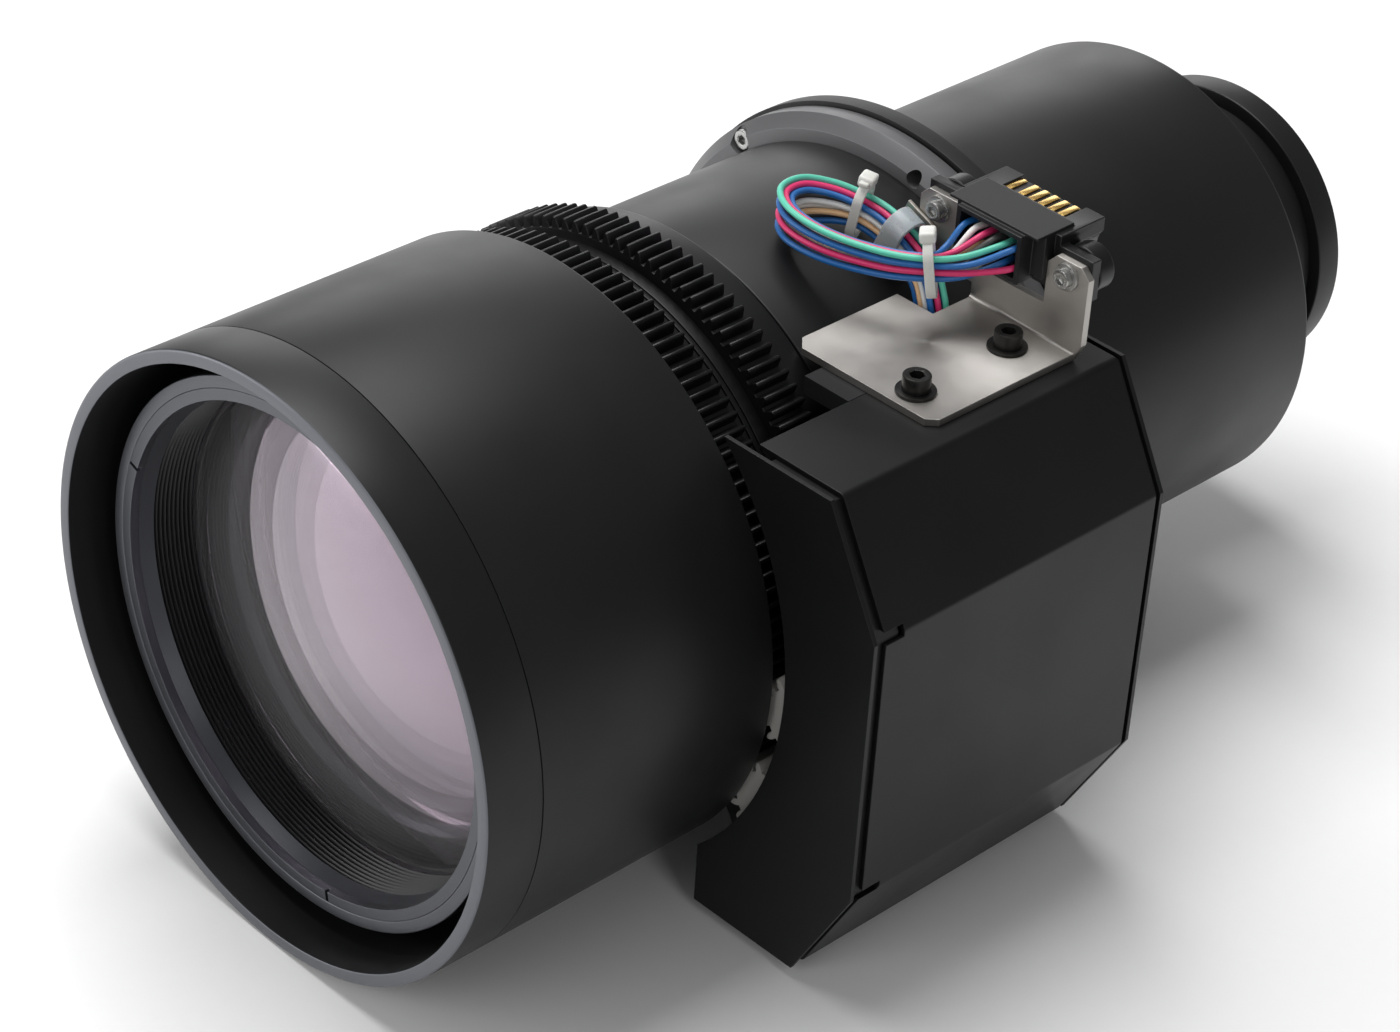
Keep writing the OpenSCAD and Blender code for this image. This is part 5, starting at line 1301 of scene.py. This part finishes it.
class LENS_OT_ties(bpy.types.Operator):
    """Make the cable ties, the cable clip and its foot"""
    bl_idname = "lens.ties"
    bl_label = "Ties and clip"

    def execute(self, context):
        bm = bmesh.new()
        for k in TIE_PLACES:
            place = across(k)
            add_band(bm, BUNDLE_W, BUNDLE_H, TIE_T, TIE_W, place)
            top = (BUNDLE_H + TIE_T) / 2
            part = bmesh.new()
            add_block(part, (-2.3, top, -2), (2.3, top + 3, 2), soft=0.7, segments=3)
            add_block(part, (1.2, top + 0.9, -1.25), (3.6, top + 2.1, 1.25), soft=0.35)
            part.transform(place)
            mesh = bpy.data.meshes.new("part")
            part.to_mesh(mesh)
            part.free()
            bm.from_mesh(mesh)
            bpy.data.meshes.remove(mesh)
        ties = new_piece("tie_bands", bm, smooth=50, merge=0)
        settle(ties, "fixed", "tie_milky", "cable_ties")
        bm = bmesh.new()
        add_band(bm, BUNDLE_W, BUNDLE_H, CLIP_T, CLIP_W, across(CLIP_PLACE))
        clip = new_piece("clip_band", bm, smooth=50, merge=0)
        settle(clip, "fixed", "clip_nylon", "cable_clip")
        foot = from_node("clip_foot", "foot", 0.25 * MM, 3)
        settle(foot, "fixed", "foot_steel", "clip_foot")
        return {'FINISHED'}


# Inner parts that keep their CAD shape

INNER_FINISH = {
    "focus_follower_pins": "turned_brass", "zoom_drive_pins": "turned_brass", "cam_barrel": "inner_black",
    "variator_carrier": "inner_black", "variator_pins": "turned_brass", "compensator_carrier": "inner_black",
    "compensator_pins": "turned_brass", "focus_ring_retainer": "ring_plastic", "guide_barrel": "inner_black",
    "stop_ring": "inner_black", "relay_cell": "inner_black", "motor_chassis": "seat_metal",
    "chassis_screws": "zinc_steel", "focus_motor": "motor_can", "zoom_motor": "motor_can",
    "position_sensors": "sensor_board",
}


class LENS_OT_inner(bpy.types.Operator):
    """Give the inner parts their finishes"""
    bl_idname = "lens.inner"
    bl_label = "Inner parts"

    def execute(self, context):
        for node, material in INNER_FINISH.items():
            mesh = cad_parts[node].data
            mesh.materials.clear()
            mesh.materials.append(finish(material))
        return {'FINISHED'}


# Stage: places in metres, powers in watts; the camera's azimuth, elevation and roll in degrees

SOFTBOXES = [
    ("top_softbox", (-0.5, 0.0, 1.6), (0, -0.05, 0), (1.2, 1.2), 30),
    ("back_softbox", (-1.35, 1.2, 0.5), (0, 0, 0), (1.3, 0.8), 6.5),
    ("left_softbox", (-1.3, -1.3, 0.25), (0, -0.2, 0), (1.1, 0.9), 14),
    ("front_softbox", (0.2, -1.8, 1.0), (0, -0.2, 0), (1.2, 0.8), 7),
    ("right_strip", (1.6, -0.6, 0.9), (0.1, 0, 0), (0.5, 1.2), 4),
]
WORLD_LEVEL = 0.2
CAMERA_PLACE = (0.5668, -0.64513, 0.52714)
CAMERA_ANGLES = (44.49, 33.88, 3.58)
CAMERA_LENS = 97.32
CAMERA_SENSOR = 36


def area_light(name, place, aim, size, power):
    """A white rectangular softbox that faces a point"""
    light = bpy.data.lights.new(name, 'AREA')
    light.shape = 'RECTANGLE'
    light.size, light.size_y = size
    light.energy = power
    obj = bpy.data.objects.new(name, light)
    obj.location = place
    obj.rotation_euler = (Vector(aim) - Vector(place)).to_track_quat('-Z', 'Y').to_euler()
    bpy.context.scene.collection.objects.link(obj)


class LENS_OT_stage(bpy.types.Operator):
    """Make the floor, the lights and the camera"""
    bl_idname = "lens.stage"
    bl_label = "Stage"

    def execute(self, context):
        colours = context.scene.lens_colours
        bm = bmesh.new()
        half, depth = 4.0, (-HOOD_R - 0.4) * MM
        corners = [bm.verts.new((x * half, y * half, depth)) for x, y in ((-1, -1), (1, -1), (1, 1), (-1, 1))]
        bm.faces.new(corners)
        floor = new_piece("floor", bm)
        floor.data.materials.append(grained("floor_paint", tuple(colours.floor), 0.6, 0.7, patch=3, grain=200,
                                            depth=0.02, swing=0.01))
        for row in SOFTBOXES:
            area_light(*row)
        world = bpy.data.worlds.new("studio")
        context.scene.world = world
        world.use_nodes = True
        world.node_tree.nodes["Background"].inputs["Color"].default_value = (1, 1, 1, 1)
        world.node_tree.nodes["Background"].inputs["Strength"].default_value = WORLD_LEVEL
        context.scene.view_settings.view_transform = 'Standard'
        camera = bpy.data.cameras.new("camera")
        camera.lens = CAMERA_LENS
        camera.sensor_width = CAMERA_SENSOR
        camera.clip_start = 0.01
        camera.clip_end = 30
        obj = bpy.data.objects.new("camera", camera)
        context.scene.collection.objects.link(obj)
        a, e, roll = (math.radians(angle) for angle in CAMERA_ANGLES)
        ahead = Vector((-math.sin(a) * math.cos(e), math.cos(a) * math.cos(e), -math.sin(e)))
        right = Vector((math.cos(a), math.sin(a), 0))
        up = right.cross(ahead)
        side = right * math.cos(roll) + up * math.sin(roll)
        upright = -right * math.sin(roll) + up * math.cos(roll)
        turn = Matrix((side, upright, -ahead)).transposed().to_4x4()
        obj.matrix_world = Matrix.Translation(CAMERA_PLACE) @ turn
        context.scene.camera = obj
        return {'FINISHED'}


STEPS = ("stage", "hood", "front_cell", "glass", "gear_rings", "pinions", "barrels", "flange", "drive_box",
         "bracket", "connector", "harness", "ties", "inner")


class LENS_PT_panel(bpy.types.Panel):
    """Sizes, colours and pieces of the lens"""
    bl_label = "Projection zoom lens"
    bl_space_type = 'VIEW_3D'
    bl_region_type = 'UI'
    bl_category = "Lens"

    def draw(self, context):
        for group in (context.scene.lens_sizes, context.scene.lens_colours):
            for label in group.__annotations__:
                self.layout.prop(group, label)
        for step in STEPS:
            self.layout.operator(f"lens.{step}")


CLASSES = (LensSizes, LensColours, LENS_OT_stage, LENS_OT_hood, LENS_OT_front_cell, LENS_OT_glass,
           LENS_OT_gear_rings, LENS_OT_pinions, LENS_OT_barrels, LENS_OT_flange, LENS_OT_drive_box,
           LENS_OT_bracket, LENS_OT_connector, LENS_OT_harness, LENS_OT_ties, LENS_OT_inner, LENS_PT_panel)


def register():
    for cls in CLASSES:
        bpy.utils.register_class(cls)
    bpy.types.Scene.lens_sizes = PointerProperty(type=LensSizes)
    bpy.types.Scene.lens_colours = PointerProperty(type=LensColours)


def unregister():
    del bpy.types.Scene.lens_sizes
    del bpy.types.Scene.lens_colours
    for cls in reversed(CLASSES):
        bpy.utils.unregister_class(cls)


def main():
    """Makes every piece"""
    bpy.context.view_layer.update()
    register()
    for step in STEPS:
        getattr(bpy.ops.lens, step)()


if __name__ == "__main__":
    main()
